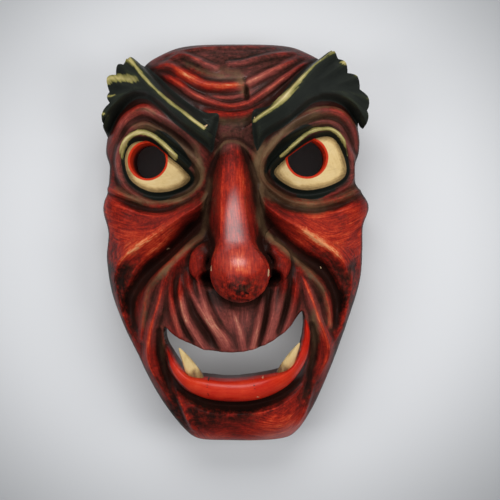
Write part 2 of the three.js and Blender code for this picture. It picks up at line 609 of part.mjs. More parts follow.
// Notches and tips joined by curves, closed through the middle of the brow
function leafOutline(points, root) {
  const path = new THREE.Path().moveTo(...points[0]);
  for (let i = 1; i + 1 < points.length; i += 2) path.quadraticCurveTo(...points[i], ...points[i + 1]);
  path.lineTo(...root);
  const line = path.getPoints(5).map((p) => [p.x, p.y]);
  return THREE.ShapeUtils.isClockWise(line.map(([x, y]) => new THREE.Vector2(x, y))) ? line.reverse() : line;
}

// The mouth, an open grin cut right through
const mouthOutline = smoothLine([
  [-49.5, -61], [-43, -66], [-33, -71], [-20, -75.5], [-4, -77.5], [12, -75.5], [26, -69.5],
  [38, -60.5], [46, -50],
  [48.5, -52], [49, -60], [47.3, -72], [43, -83.5], [36.5, -90.5], [28, -93], [13, -95.5], [-3, -97],
  [-18, -96],
  [-30, -94.5],
  [-37, -90], [-44, -81], [-49.5, -71],
], true, 3);

const mouth = prism(atRealSize(mouthOutline).reverse(), -1, maskDepth);

function eyeHole(eye, diameter) {
  const height = maskDepth;
  const geometry = new THREE.CylinderGeometry(diameter / 2, diameter / 2 - eyeHoleTaper,
    wallThickness * 2, 28);
  geometry.rotateX(Math.PI / 2);
  const front = ballHeight * out;
  geometry.translate(eye.hole[0] * across, eye.hole[1] * along, front - wallThickness + 1);
  const clear = new THREE.CylinderGeometry(diameter / 2 - eyeHoleTaper, diameter / 2 - eyeHoleTaper,
    height, 28);
  clear.rotateX(Math.PI / 2);
  clear.translate(eye.hole[0] * across, eye.hole[1] * along, height / 2 - 1);
  const mouthOfHole = new THREE.CylinderGeometry(diameter / 2, diameter / 2, height, 28);
  mouthOfHole.rotateX(Math.PI / 2);
  mouthOfHole.translate(eye.hole[0] * across, eye.hole[1] * along, front + height / 2 + 1);
  const withinLids = prism(atRealSize(eye.outline).reverse(), -1, height * 1.5);
  return toSolid(geometry).add(toSolid(clear)).add(toSolid(mouthOfHole)).intersect(withinLids);
}

// Fangs: faceted teeth that lean outwards, each with a root in the lip

const fangPlaces = [
  { name: 'left_fang', at: [-27.5, -95], to: [-38.5, -73], color: 0xd8c88f },
  { name: 'right_fang', at: [35, -92.5], to: [46.5, -67], color: 0xd8c88f },
];

function fangSolid({ at, to }, gap) {
  const half = fangWidth / 2;
  const profile = [
    [0, -fangRootLength - gap], [half * 0.7 + gap, -fangRootLength - gap], [half + gap, 0],
    [half * 0.86 + gap, fangLength * 0.3], [half * 0.5 + gap, fangLength * 0.72],
    [half * 0.16 + gap, fangLength * 0.97],
    [0, fangLength + gap],
  ].map(([r, h]) => new THREE.Vector2(r, h));
  const tooth = new THREE.LatheGeometry(profile, fangSides);
  tooth.scale(1, 1, fangFlatness);
  const root = new THREE.Vector3(at[0] * across, at[1] * along, 0);
  const tip = new THREE.Vector3(to[0] * across, to[1] * along, 0);
  const lean = tip.clone().sub(root).setZ(fangLength * 0.16).normalize();
  tooth.applyQuaternion(new THREE.Quaternion().setFromUnitVectors(new THREE.Vector3(0, 1, 0), lean));
  tooth.translate(root.x, root.y, carvedHeight(at[0], at[1] - 7) * out - fangSink);
  return toSolid(tooth);
}

// Put together: the carved block, cut to its outline, hollowed, and opened at the mouth and the eyes

const side = atRealSize(sideOutline);
const beyondSide = distanceFrom(side);
const carved = solidUnder(
  (x, y) => carvedHeight(x / across, y / along) * out, (x, y) => beyondSide(x, y) < 3, faceTolerance);
let blank = prism([...side].reverse(), 0, maskDepth * 1.5);
for (const [leaves, root] of [[leftLeaves, [-50, 95]], [rightLeaves, [50, 95]]]) {
  blank = blank.add(prism(atRealSize(leafOutline(leaves, root)), browLeafBase * out, maskDepth * 1.5));
}

function hollowHeight(x, y) {
  const shrink = 1 + (rimWidth * 2) / maskWidth;
  const inside = vault((x / across) * shrink, (y / along) * 1.03) * out - wallThickness;
  const behindNose = 10 * Math.max(0, 1 - Math.hypot(x / 22, (y - 4) / 46) ** 2);
  return inside + behindNose;
}
const innerSide = inset(side, rimWidth);
const beyondInnerSide = distanceFrom(innerSide);
const hollow = solidUnder(hollowHeight, (x, y) => beyondInnerSide(x, y) < 2, hollowTolerance)
  .intersect(prism([...innerSide].reverse(), -5, maskDepth * 1.5));

let mask = carved.intersect(blank).subtract(hollow).subtract(mouth)
  .subtract(eyeHole(leftEye, leftEyeHoleDiameter)).subtract(eyeHole(rightEye, rightEyeHoleDiameter));
for (const place of fangPlaces) mask = mask.subtract(fangSolid(place, fangClearance));

const group = new THREE.Group();

function addPiece(name, solid, color, roughness) {
  const mesh = new THREE.Mesh(toGeometry(solid), new THREE.MeshStandardMaterial({ color, roughness,
    metalness: 0 }));
  mesh.name = name;
  group.add(mesh);
}

addPiece('mask', mask, 0x6e1f18, 0.45);
for (const place of fangPlaces) addPiece(place.name, fangSolid(place, 0), place.color, 0.4);

export default group;
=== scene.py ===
import bpy
import math
import numpy as np
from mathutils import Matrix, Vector
from mathutils.kdtree import KDTree


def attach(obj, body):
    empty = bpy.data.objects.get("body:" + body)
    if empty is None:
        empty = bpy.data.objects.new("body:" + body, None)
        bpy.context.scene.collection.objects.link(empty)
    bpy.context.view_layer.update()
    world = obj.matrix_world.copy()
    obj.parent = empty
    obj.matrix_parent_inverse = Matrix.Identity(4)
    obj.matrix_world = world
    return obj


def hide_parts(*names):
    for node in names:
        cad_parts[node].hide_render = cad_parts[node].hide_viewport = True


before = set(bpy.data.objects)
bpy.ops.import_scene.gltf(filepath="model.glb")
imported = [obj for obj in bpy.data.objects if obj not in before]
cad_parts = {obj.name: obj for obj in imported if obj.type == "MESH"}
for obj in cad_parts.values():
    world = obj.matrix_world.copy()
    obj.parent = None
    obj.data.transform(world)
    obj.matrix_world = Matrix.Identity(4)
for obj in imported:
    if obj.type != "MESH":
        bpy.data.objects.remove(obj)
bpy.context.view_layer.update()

# The mask
# One block of wood, carved with gouge and knife, hollowed out behind and left with a flat sawn rim.
# Brows, lids, eyeballs, nose and lips are carved in one with it. It is painted dark red over a pale ground,
# with green-black brows and cream eyes, brushed over on its ridges, rubbed down with umber and varnished.

# Millimetres while it is carved; +X is the viewer's right and +Y is towards the forehead, as in the frame.
mask_height, mask_width = 300.0, 201.0
field_step, hollow_step = 0.5, 1.25
wall_thickness = 17.0
rim_width = 11.0
rim_rounding, lip_rounding, eye_rounding = 3.0, 1.6, 0.6
brow_edge_width, brow_lift = 5, 5
above_all, under_all = 160, -10


def smooth_step(low, high, v):
    t = np.clip((v - low) / (high - low), 0, 1)
    return t * t * (3 - 2 * t)


def smooth_higher(a, b, blend):
    h = np.maximum(blend - np.abs(a - b), 0) / blend
    return np.maximum(a, b) + h * h * blend / 4


def along_list(values, t):
    values = np.asarray(values, float)
    at = np.clip(t, 0, 1) * (len(values) - 1)
    i = np.minimum(at.astype(int), len(values) - 2)
    s = smooth_step(0, 1, at - i)
    return values[i] * (1 - s) + values[i + 1] * s


def profile_curve(pairs):
    """A smooth curve through (place, value) pairs, for arrays of places."""
    p = np.array([q[0] for q in pairs], float)
    v = np.array([q[1] for q in pairs], float)
    n = len(p)
    slope = np.array([(v[min(k + 1, n - 1)] - v[max(k - 1, 0)]) / (p[min(k + 1, n - 1)] - p[max(k - 1, 0)])
                      for k in range(n)])

    def curve(place):
        place = np.clip(np.asarray(place, float), p[0], p[-1])
        i = np.clip(np.searchsorted(p, place, side="right") - 1, 0, n - 2)
        span = p[i + 1] - p[i]
        t = (place - p[i]) / span
        return ((2 * t ** 3 - 3 * t * t + 1) * v[i] + (t ** 3 - 2 * t * t + t) * span * slope[i]
                + (3 * t * t - 2 * t ** 3) * v[i + 1] + (t ** 3 - t * t) * span * slope[i + 1])
    return curve


def smooth_line(points, closed=False, steps=6):
    """A curve through the points, as a list of places on it."""
    points = np.asarray(points, float)
    n = len(points)
    line = []
    for k in range(n if closed else n - 1):
        if closed:
            a, b, c, d = (points[(k + o) % n] for o in (-1, 0, 1, 2))
        else:
            b, c = points[k], points[k + 1]
            a = points[k - 1] if k > 0 else 2 * b - c
            d = points[k + 2] if k + 2 < n else 2 * c - b
        for t in np.arange(steps) / steps:
            line.append((2 * t ** 3 - 3 * t * t + 1) * b + (t ** 3 - 2 * t * t + t) * (c - a) / 2
                        + (3 * t * t - 2 * t ** 3) * c + (t ** 3 - t * t) * (d - b) / 2)
    if not closed:
        line.append(points[-1])
    return np.array(line)


def nearest_on(line, x, y):
    """Each place's distance from the line, the share of the way along, and whether it lies on the left."""
    best = np.full(x.shape, np.inf)
    share = np.zeros(x.shape)
    left = np.zeros(x.shape, bool)
    for i in range(len(line) - 1):
        (ax, ay), (bx, by) = line[i], line[i + 1]
        dx, dy = bx - ax, by - ay
        t = np.clip(((x - ax) * dx + (y - ay) * dy) / (dx * dx + dy * dy), 0, 1)
        squared = (x - ax - t * dx) ** 2 + (y - ay - t * dy) ** 2
        nearer = squared < best
        best = np.where(nearer, squared, best)
        share = np.where(nearer, (i + t) / (len(line) - 1), share)
        left = np.where(nearer, dx * (y - ay) - dy * (x - ax) > 0, left)
    return np.sqrt(best), share, left


def near_line(line, reach, x, y):
    low, high = line.min(0) - reach, line.max(0) + reach
    return (x > low[0]) & (x < high[0]) & (y > low[1]) & (y < high[1])


def distance_from(outline, x, y, reach=1e3):
    """Distance from a closed outline, negative inside it, and 99 out of reach."""
    result = np.full(x.shape, 99.0)
    near = near_line(outline, reach, x, y)
    px, py = x[near], y[near]
    ring = np.vstack([outline, outline[:1]])
    inside = np.zeros(px.shape, bool)
    for (ax, ay), (bx, by) in zip(ring[:-1], ring[1:]):
        if ay != by:
            inside ^= ((ay > py) != (by > py)) & (px < (bx - ax) * (py - ay) / (by - ay) + ax)
    result[near] = nearest_on(ring, px, py)[0] * np.where(inside, -1, 1)
    return result


def stroke(x, y, path, rise, left, right=None, crest=0.4, roll=False):
    """The height that one gouge cut or ridge adds, with its sizes listed along the way on each side."""
    right = left if right is None else right
    left, right = (w if len(w) > 1 else w * 2 for w in (left, right))
    line = smooth_line(path)
    added = np.zeros(x.shape)
    near = near_line(line, max(*left, *right), x, y)
    distance, share, on_left = nearest_on(line, x[near], y[near])
    q = np.minimum(distance / np.where(on_left, along_list(left, share), along_list(right, share)), 1)
    if roll:
        section = np.sqrt(1 - q * q)
    else:
        section = (1 - q * q) ** 2 * (1 - crest) + (1 - q) ** 1.5 * crest
    added[near] = along_list(rise, share) * section
    return added


def swelling(x, y, at, reach, rise):
    q = np.minimum(np.hypot((x - at[0]) / reach[0], (y - at[1]) / reach[1]), 1)
    return rise * (1 - q * q) ** 2


side_outline = smooth_line([
    [1, 148], [36, 150], [54, 147.5], [69, 133], [79.5, 116.5], [87, 101], [90.5, 84.5], [91.5, 67],
    [87.5, 54.5], [89, 43], [94.5, 35], [100.5, 26], [95.5, 12], [95, -8], [93, -29], [84, -56.5],
    [73.5, -87.5], [64, -111], [54.5, -129], [42, -147], [21, -150], [-4, -147.5], [-26, -146.5],
    [-38.5, -135], [-55.5, -113.5], [-66, -96.5], [-72, -84], [-85.5, -59.5], [-94, -38], [-98, -14],
    [-96, 6], [-100.5, 24], [-97, 35.5], [-96.5, 45], [-95, 57], [-99, 68], [-97, 82], [-90, 96],
    [-81.5, 109], [-72, 124.5], [-62.5, 140.5], [-41, 148.5],
], closed=True)
left_brow = smooth_line([
    [-11, 87], [-21, 89], [-38, 101], [-57, 120], [-68, 131], [-78, 142], [-94, 134], [-104, 116],
    [-108, 95], [-104, 80], [-94, 80], [-86, 92], [-77, 99], [-67, 101], [-57, 96], [-38, 78],
    [-22, 67], [-16, 62], [-13, 74],
], closed=True)
right_brow = smooth_line([
    [12, 88], [23, 93], [31, 100], [43, 117], [54, 128], [64, 137], [76, 146], [92, 134], [102, 115],
    [104, 96], [100, 80], [92, 81], [83, 94], [75, 99], [65, 100], [54, 96], [38, 82], [22, 72],
    [15, 63],
], closed=True)
mouth_outline = smooth_line([
    [-49.5, -61], [-43, -66], [-33, -71], [-20, -75.5], [-4, -77.5], [12, -75.5], [26, -69.5],
    [38, -60.5], [46, -50], [48.5, -52], [49, -60], [47.3, -72], [43, -83.5], [36.5, -90.5], [28, -93],
    [13, -95.5], [-3, -97], [-18, -96], [-30, -94.5], [-37, -90], [-44, -81], [-49.5, -71],
], closed=True)

# The leaves that end each brow, as notch, tip, notch, tip and so on, from the top down
leaf_base = 46.0
left_leaves = [
    [-64, 127], [-74, 134.5], [-78.5, 124], [-85, 127], [-85, 118.5], [-96, 121], [-90.5, 107],
    [-94, 104], [-90, 99], [-100, 94], [-94, 78],
]
right_leaves = [
    [58, 131], [68.5, 138], [72.5, 128], [80.5, 127.5], [80, 119.5], [90.5, 120], [89.5, 109],
    [100.5, 102.5], [95, 94], [98, 88], [92, 80],
]

# The vault that the carving stands on: its height along the middle, and its breadth
midline_height = profile_curve([
    [-150, 32], [-146, 48], [-138, 60], [-120, 69], [-100, 72], [-75, 75], [-50, 75], [-25, 70],
    [0, 64], [20, 62], [40, 64], [60, 70], [80, 74], [100, 71], [120, 65], [136, 56], [145, 44],
    [150, 30],
])
half_breadth = profile_curve([
    [-150, 44], [-130, 59], [-111, 68], [-88, 78], [-60, 89], [-38, 97], [-14, 101], [24, 103],
    [45, 100], [69, 101], [85, 98], [100, 93], [117, 85], [133, 73], [150, 45],
])
side_height = 18.0


def vault(x, y):
    q = np.minimum(1, np.abs(x) / half_breadth(y))
    return side_height + (midline_height(y) - side_height) * np.sqrt(1 - q ** 2.8)


# Broad swellings and hollows, and then ridges and cuts that follow a path; a rise below 0 is a cut
masses = [
    dict(at=[-57, 56], reach=[40, 34], rise=-8),  # eye sockets
    dict(at=[55, 57], reach=[40, 34], rise=-8),
    dict(at=[0, 114], reach=[70, 36], rise=4),  # forehead
    dict(at=[0, 80], reach=[22, 22], rise=3),  # between the brows
    dict(at=[0, -55], reach=[46, 34], rise=6),  # upper lip
    dict(at=[-22, -128], reach=[24, 20], rise=5),  # chin, with a cleft in the middle
    dict(at=[30, -130], reach=[26, 20], rise=6),
    dict(at=[-90, 27], reach=[20, 20], rise=9),  # cheekbones at the temples
    dict(at=[90, 27], reach=[20, 20], rise=9),
    dict(at=[4, -14], reach=[36, 26], rise=5),  # round the base of the nose
]
frown_lines = [
    dict(path=[[-52, 138], [-24, 141], [4, 142], [28, 143]], rise=[1, 2.5, 2.5, 1], left=[4]),
    dict(path=[[-50, 130], [-40, 135], [-29, 130], [-21, 125], [-13, 122]],
         rise=[1, 3, 4, 3.5, 2], left=[4.5]),
    dict(path=[[-4, 125], [6, 126], [17, 130], [29, 134], [43, 138]], rise=[3, 4, 4, 3, 1], left=[4]),
    dict(path=[[-61, 127], [-47, 126], [-37, 118], [-24, 110], [-11, 107], [5, 108]],
         rise=[1, 4, 5, 5, 5, 4], left=[5.5]),
    dict(path=[[10, 110], [22, 117], [35, 125], [48, 134]], rise=[4, 4.5, 4, 1], left=[4.5]),
    dict(path=[[-18, 101], [-6, 99], [5, 101]], rise=[0.5, 2.5, 1], left=[3]),
    dict(path=[[-57, 121], [-43, 113], [-29, 102], [-13, 95], [-1, 93], [10, 96], [22, 104], [34, 114],
               [47, 125], [56, 131]],
         rise=[1, 3, 4, 4, 4, 4, 4, 4, 3, 1], left=[4]),
    dict(path=[[-24, 91], [-12, 87], [0, 86], [12, 89], [24, 97]],
         rise=[1, 4, 5, 4, 1], left=[6], right=[5]),
    dict(path=[[7, 113], [8, 104], [9, 96]], rise=[-1, -4, -1], left=[2.6], crest=0.7),  # a split
]
brow_ridges = [
    dict(path=[[-20, 76], [-33.5, 85.5], [-48.5, 98], [-63, 113], [-74, 126]], rise=[5, 9, 10, 10, 7],
         left=[14, 17, 22, 26, 24], right=[5, 7, 7, 7, 6], crest=0.85),
    dict(path=[[66, 130], [54, 120], [43.5, 109], [33.5, 98], [25.5, 90], [14, 82.5]],
         rise=[7, 10, 10, 10, 9, 5], left=[28, 28, 24, 18, 15, 12], right=[6, 7, 7, 7, 7, 5], crest=0.85),
]
brow_height = profile_curve([(0, 76), (40, 72), (60, 67), (80, 61), (104, 53)])
brow_locks = [dict(path=path, rise=[0.5, 2.3, 2.8], left=[5], crest=0.6) for path in [
    [[-52, 108], [-64, 119], [-76, 131]], [[-60, 108], [-72, 116], [-83, 125]],
    [[-64, 106], [-78, 110], [-91, 116]], [[-66, 103], [-79, 104], [-90, 102]],
    [[-70, 101], [-84, 99], [-96, 90]],
    [[50, 112], [61, 123], [71, 135]], [[56, 110], [69, 119], [80, 128]],
    [[62, 107], [76, 112], [88, 118]], [[64, 104], [79, 106], [94, 103]],
    [[68, 101], [82, 100], [94, 90]],
]]
eye_folds = [
    dict(path=[[-90, 76], [-81, 88], [-73, 92.5], [-65, 93.5], [-57, 89], [-42, 78], [-30, 69], [-23, 60]],
         rise=[2, 4.5, 5, 5, 5, 4, 3, 1], left=[5], crest=0.3),
    dict(path=[[-85, 66], [-80, 80], [-66, 87], [-54, 83], [-40, 74], [-29, 64]],
         rise=[-1, -3, -3, -3, -3, -1], left=[4], crest=0.2),
    dict(path=[[-78, 76], [-66, 82], [-56, 78], [-40, 65], [-30, 57], [-25, 47], [-30, 36], [-42, 29.5],
               [-58, 28.5], [-74, 32]],
         rise=[1, 2.5, 3, 3, 3, 3, 3, 2.5, 2, 1], left=[3.6], crest=0.5),
    dict(path=[[22, 64], [32, 73], [43, 82], [53, 88.5], [62, 92], [70, 93], [78, 91], [86, 84], [91, 74]],
         rise=[1, 3, 4, 5, 5, 5, 5, 4, 2], left=[5], crest=0.3),
    dict(path=[[30, 68], [44, 80], [60, 87], [74, 86], [82, 78], [87, 66]], rise=[-1, -3, -3, -3, -3, -1],
         left=[4], crest=0.2),
    dict(path=[[76, 81], [66, 84.5], [53, 81], [40, 75], [30, 69], [22, 61], [20, 51], [24, 40], [33, 32.5],
               [46, 28.5], [60, 27], [74, 31]],
         rise=[1, 2.5, 3, 3, 3, 3, 3, 3, 3, 2.5, 2, 1], left=[3.6], crest=0.5),
    dict(path=[[-97, 40], [-84, 34], [-70, 29]], rise=[2.5, 2.5, 1], left=[3], crest=0.5),
    dict(path=[[97, 40], [86, 35], [74, 30]], rise=[2.5, 2.5, 1], left=[3], crest=0.5),
    dict(path=[[-95, 35], [-79, 28], [-66, 23.5], [-54, 22], [-44, 24], [-32, 30], [-24, 36]],
         rise=[-2, -4, -4, -4, -4, -3, -1], left=[4.5], crest=0.3),
    dict(path=[[92, 33], [78, 27], [62, 22.5], [50, 22], [36, 25], [23, 33]],
         rise=[-2, -4, -4, -4, -4, -1], left=[4.5], crest=0.3),
]
cheeks = [
    dict(path=[[-17, 40], [-20, 31], [-26, 24], [-37, 17], [-52, 7], [-65, -2], [-76, -9], [-84, -16],
               [-87, -24]],
         rise=[3, 7, 10, 12, 13, 13, 12, 9, 4], left=[5, 9, 11, 13, 14, 14, 13, 9, 6],
         right=[6, 12, 18, 26, 32, 32, 30, 20, 8], crest=0.9),
    dict(path=[[80, -22], [77, -15], [70, -8], [59, 0], [50, 6], [38, 13], [29, 19], [21, 26], [17, 36]],
         rise=[4, 9, 12, 13, 13, 12, 10, 7, 3], left=[6, 9, 13, 14, 14, 13, 11, 9, 5],
         right=[8, 20, 30, 32, 32, 26, 18, 12, 6], crest=0.9),
    dict(path=[[-22, 16], [-33, 6], [-47, -9], [-60, -20], [-70, -31], [-76, -45], [-75, -62]],
         rise=[-2, -8, -11, -11, -10, -8, -4], left=[7, 9, 9, 8, 7], crest=0.2),
    dict(path=[[22, 12], [33, -1], [46, -12], [58, -20], [67, -29], [73, -43], [73, -60]],
         rise=[-2, -8, -11, -11, -10, -8, -4], left=[7, 9, 9, 8, 7], crest=0.2),
    dict(path=[[-89, -22], [-87, -32], [-84, -46], [-79, -62], [-72, -78]],
         rise=[2, 4, 5, 4, 1], left=[7]),
    dict(path=[[84, -20], [84, -32], [81, -47], [76, -64], [70, -78]], rise=[2, 4, 5, 4, 1], left=[7]),
]
mouth_folds = [
    dict(path=[[-20, 22], [-21, 5], [-29, -1], [-37, -7], [-45, -15], [-52, -22], [-59, -31], [-63, -42],
               [-65, -56], [-67, -70]],
         rise=[1, 2, 5, 6, 7, 7, 7, 6, 4, 2], left=[6, 10, 12, 10, 6], right=[4, 5, 6, 6, 5], crest=0.6),
    dict(path=[[68, -60], [65, -42], [61, -31], [55, -23], [47, -17], [39, -9], [32, -3], [25, 2], [19, 4],
               [18, 20]],
         rise=[3, 6, 7, 7, 7, 7, 6, 5, 2, 1], left=[4, 5, 6, 6, 5], right=[6, 10, 12, 10, 6], crest=0.6),
    dict(path=[[-49, -26], [-53, -42], [-59, -62], [-62, -80], [-60, -92], [-53, -104], [-45, -116]],
         rise=[1, 4, 6, 6, 5, 4, 1], left=[5, 6, 7, 6], right=[5, 6, 7, 6], crest=0.5),
    dict(path=[[46, -22], [53, -38], [59, -55], [66, -72], [67, -84], [61, -98]],
         rise=[1, 5, 6, 6, 5, 1], left=[5, 6, 6, 5], crest=0.5),
    dict(path=[[-53, -64], [-53, -80], [-50, -94], [-44, -112]],
         rise=[-2, -5, -4, -1], left=[4, 5, 4], crest=0.2),
    dict(path=[[54, -60], [57, -78], [54, -96], [50, -113]],
         rise=[-2, -5, -4, -1], left=[4, 5, 4], crest=0.2),
    dict(path=[[-42, -105], [-38.5, -114], [-34, -124], [-30, -134]], rise=[0.5, 3, 3.5, 1.5],
         left=[6, 5], right=[3.5, 3], crest=0.5),  # the left edge of the chin
    dict(path=[[56, -104], [53.5, -114], [50.5, -124], [46, -133]], rise=[0.5, 3, 3.5, 1.5],
         left=[3.5, 3], right=[6, 5], crest=0.5),  # and the right edge
]
lip_flutes = [dict(path=path, rise=rise, left=[4.8], crest=0.7) for path, rise in [
    ([[-45, -17], [-50, -32], [-52, -50]], [1, 3, 1]),
    ([[-42, -18], [-45, -34], [-42, -50], [-38, -66]], [1, 4, 5, 4]),
    ([[-38, -22], [-38, -38], [-34, -54], [-27, -66], [-21, -75]], [1, 5, 6, 6, 5]),
    ([[-34, -17], [-31, -34], [-24, -46], [-15, -60], [-7, -74]], [1, 4, 5, 5, 3]),
    ([[-25, -30], [-21, -42], [-14, -57], [-6, -68], [-2, -76]], [3, 5, 5, 4, 2]),
    ([[-41, -30], [-41, -44], [-36, -58], [-30, -69]], [-1, -3, -3, -2]),
    ([[-32, -36], [-28, -50], [-19, -64], [-13, -75]], [-1, -3, -4, -2]),
    ([[1, -52], [4, -64], [6, -76]], [1, 3, 3]),
    ([[20, -36], [17, -55], [13, -74]], [2, 5, 4]),
    ([[29, -30], [26, -50], [21, -71]], [2, 4, 4]),
    ([[37, -17], [34, -34], [30, -52], [26, -68]], [1, 5, 5, 4]),
    ([[43, -22], [42, -36], [39, -50], [34, -63]], [1, 4, 5, 4]),
    ([[24, -36], [21, -54], [17, -72]], [-1, -3, -2]),
    ([[39, -30], [36, -46], [31, -62]], [-1, -3, -2]),
]]
lower_lip = dict(
    path=[[-48, -75], [-42, -88], [-33, -97], [-20, -102], [-3, -104], [13, -103], [28, -98], [40, -89],
          [48, -77], [51, -66], [50, -56]],
    rise=[1, 8, 10, 10, 10, 10, 10, 8, 6, 4, 1], left=[2, 6, 8, 8.5, 8.5, 8, 6, 3, 2], roll=True)
lip_crease = dict(
    path=[[-49, -88], [-40, -104], [-22, -114], [-3, -117], [14, -116], [31, -111], [46, -100], [55, -84]],
    rise=[-1, -4, -6, -7, -6, -4, -1], left=[5, 6, 5], crest=0.2)

# Eyes: the outline of the white, the middle of the hole and of the ball, and the hole's radius in front
left_eye = dict(outline=smooth_line([
    [-80, 55], [-79.5, 64], [-76, 70], [-69, 72.5], [-60, 70.5], [-50, 62.5], [-41, 55.5], [-33.5, 48],
    [-33, 44], [-38, 39.5], [-47, 36], [-58, 35], [-68, 38], [-76.5, 45],
], closed=True), hole=(-63, 58), ball=(-58, 52), radius=13.25)
right_eye = dict(outline=smooth_line([
    [28, 51], [35, 58.5], [44, 65.5], [52, 71], [60, 75], [68, 76], [73, 73], [77.5, 65], [80.5, 55],
    [80, 48], [75, 43], [64, 38.5], [52, 36.5], [41, 38.5], [31, 45],
], closed=True), hole=(51.5, 60), ball=(56, 53), radius=14.0)
ball_height = 59.0
ball_curve = 8.0
hole_taper = 2.4
upper_lid = profile_curve([(0, -1.5), (1.6, 2.5), (3.4, 6.5), (5, 6), (8, 3)])
lower_lid = profile_curve([(0, -1.5), (2.5, -3), (4.6, -1.5), (6.4, 1.5), (8.5, 1)])

# Nose: a flat-topped bridge that widens into a round tip, with a wing and a nostril on each side
nose_middle = profile_curve([[-45, 4], [-20, 3.8], [0, 1], [30, -1.5], [70, -2.5]])
nose_half_width = profile_curve([
    [-20, 18], [-12, 15.5], [-5, 12], [3, 9.8], [15, 8.6], [30, 7.6], [48, 6.5], [68, 5.5],
])
nose_height = profile_curve([
    [-30, 105.5], [-23, 110], [-16, 111], [-8, 108.5], [0, 104.5], [25, 96], [48, 87], [60, 82],
    [66, 79], [70, 74], [76, 66],
])
nose_slope = profile_curve([[-20, 9], [-6, 6], [5, 3.6], [25, 2.7], [70, 2]])
nose_wings = [
    dict(path=[[-14, -3], [-20.5, -6.5], [-25, -12], [-25.5, -19], [-20.5, -24.5]],
         rise=[1.5, 5.5, 8, 7.5, 4], left=[5, 6.5, 7]),
    dict(path=[[22, -3], [28.5, -6.5], [33, -12], [32.5, -19], [27.5, -24]],
         rise=[1.5, 5.5, 8, 7.5, 4], left=[5, 6.5, 7]),
]
nostrils = [
    dict(at=[-17, -27], reach=[9, 7], rise=-15),
    dict(at=[25.5, -26], reach=[9, 7], rise=-15),
]
bridge_cap = dict(path=[[-17, 54], [-13, 61.5], [-7.5, 66.5], [-2, 68], [4, 66.5], [11, 61], [15, 54]],
    rise=[0.5, 2.5, 3, 3, 3, 2.5, 0.5], left=[3.5], crest=0.3)
nose_crown = profile_curve([[-24, 5.5], [-12, 4], [0, 2], [12, 1.5]])
nose_end, nose_top = -26.0, 76.0
nose_tip, tip_radius, tip_middle = (4.0, -22.0), 20.0, 94.0


def carve_eye(eye, x, y, z):
    beyond = distance_from(eye["outline"], x, y, 12)
    ball = ball_height - ball_curve * (np.hypot(x - eye["ball"][0], y - eye["ball"][1]) / 34) ** 2
    lean = np.sign(eye["ball"][0]) * 0.25 * (x - eye["ball"][0])
    upper = smooth_step(-4, 8, y - eye["ball"][1] - lean)
    lid = ball + lower_lid(beyond) * (1 - upper) + upper_lid(beyond) * upper
    blend = smooth_step(4.5, 10.5, beyond)
    white = ball - 1.5 * smooth_step(-2, 0, beyond)
    return np.where(beyond > 11, z, np.where(beyond < 0, white, lid * (1 - blend) + z * blend))


def carve_nose(x, y, z):
    height = z + stroke(x, y, **bridge_cap)
    for wing in nose_wings:
        height = height + stroke(x, y, **wing, roll=True)
    for nostril in nostrils:
        height = height + swelling(x, y, **nostril)
    from_middle = np.abs(x - nose_middle(y))
    half = nose_half_width(y)
    bridge = (nose_height(y) - nose_crown(y) * np.minimum(1, from_middle / half) ** 2
              - nose_slope(y) * np.maximum(0, from_middle - half))
    bridge = np.where((y > nose_end) & (y < nose_top), bridge, -99)
    height = smooth_higher(height, bridge, 3)
    from_tip = np.hypot(x - nose_tip[0], (y - nose_tip[1]) * 1.02)
    tip = np.where(from_tip < tip_radius,
                   tip_middle + np.sqrt(np.maximum(tip_radius ** 2 - from_tip ** 2, 0)), -99)
    return smooth_higher(height, tip, 4)


def carved_height(x, y):
    """The height of the carved face above the rim."""
    z = vault(x, y)
    for mass in masses:
        z = z + swelling(x, y, **mass)
    for form in cheeks + mouth_folds + lip_flutes + frown_lines:
        z = z + stroke(x, y, **form)
    for brow in (left_brow, right_brow):
        within = smooth_step(0, brow_edge_width, -distance_from(brow, x, y, 0))
        z = z * (1 - within) + np.maximum(z + brow_lift, brow_height(np.abs(x))) * within
    for form in brow_ridges + brow_locks + eye_folds:
        z = z + stroke(x, y, **form)
    for eye in (left_eye, right_eye):
        z = carve_eye(eye, x, y, z)
    z = z + stroke(x, y, **lip_crease) + stroke(x, y, **lower_lip)
    return carve_nose(x, y, z)


def round_over(z, distance, radius):
    """Takes the corner off along an edge, distance being how far in from the edge a place lies."""
    d = np.clip(distance, 0, radius)
    return z - (radius - np.sqrt(radius ** 2 - (radius - d) ** 2))


def grid_over(step):
    half_width, half_height = mask_width / 2 + 6, mask_height / 2 + 3
    across = np.arange(-half_width, half_width + step / 2, step)
    along = np.arange(-half_height, half_height + step / 2, step)
    return np.meshgrid(across, along)


def put_in_scene(name, data):
    made = bpy.data.objects.new(name, data)
    bpy.context.scene.collection.objects.link(made)
    return made


def block_under(name, x, y, z, floor):
    """A closed block from the floor up to a field of heights, in metres."""
    rows, columns = x.shape
    top = np.stack([x, y, z], -1).reshape(-1, 3)
    index = np.arange(rows * columns).reshape(rows, columns)
    quads = np.stack([index[:-1, :-1], index[:-1, 1:], index[1:, 1:], index[1:, :-1]], -1).reshape(-1, 4)
    ring = np.concatenate([index[0, :-1], index[:-1, -1], index[-1, :0:-1], index[:0:-1, 0]])
    under = top[ring].copy()
    under[:, 2] = floor
    below = np.arange(len(ring)) + len(top)
    walls = np.stack([ring, below, np.roll(below, -1), np.roll(ring, -1)], -1)
    faces = quads.tolist() + walls.tolist() + [below[::-1].tolist()]
    mesh = bpy.data.meshes.new(name)
    mesh.from_pydata((np.vstack([top, under]) / 1000).tolist(), [], faces)
    return put_in_scene(name, mesh)


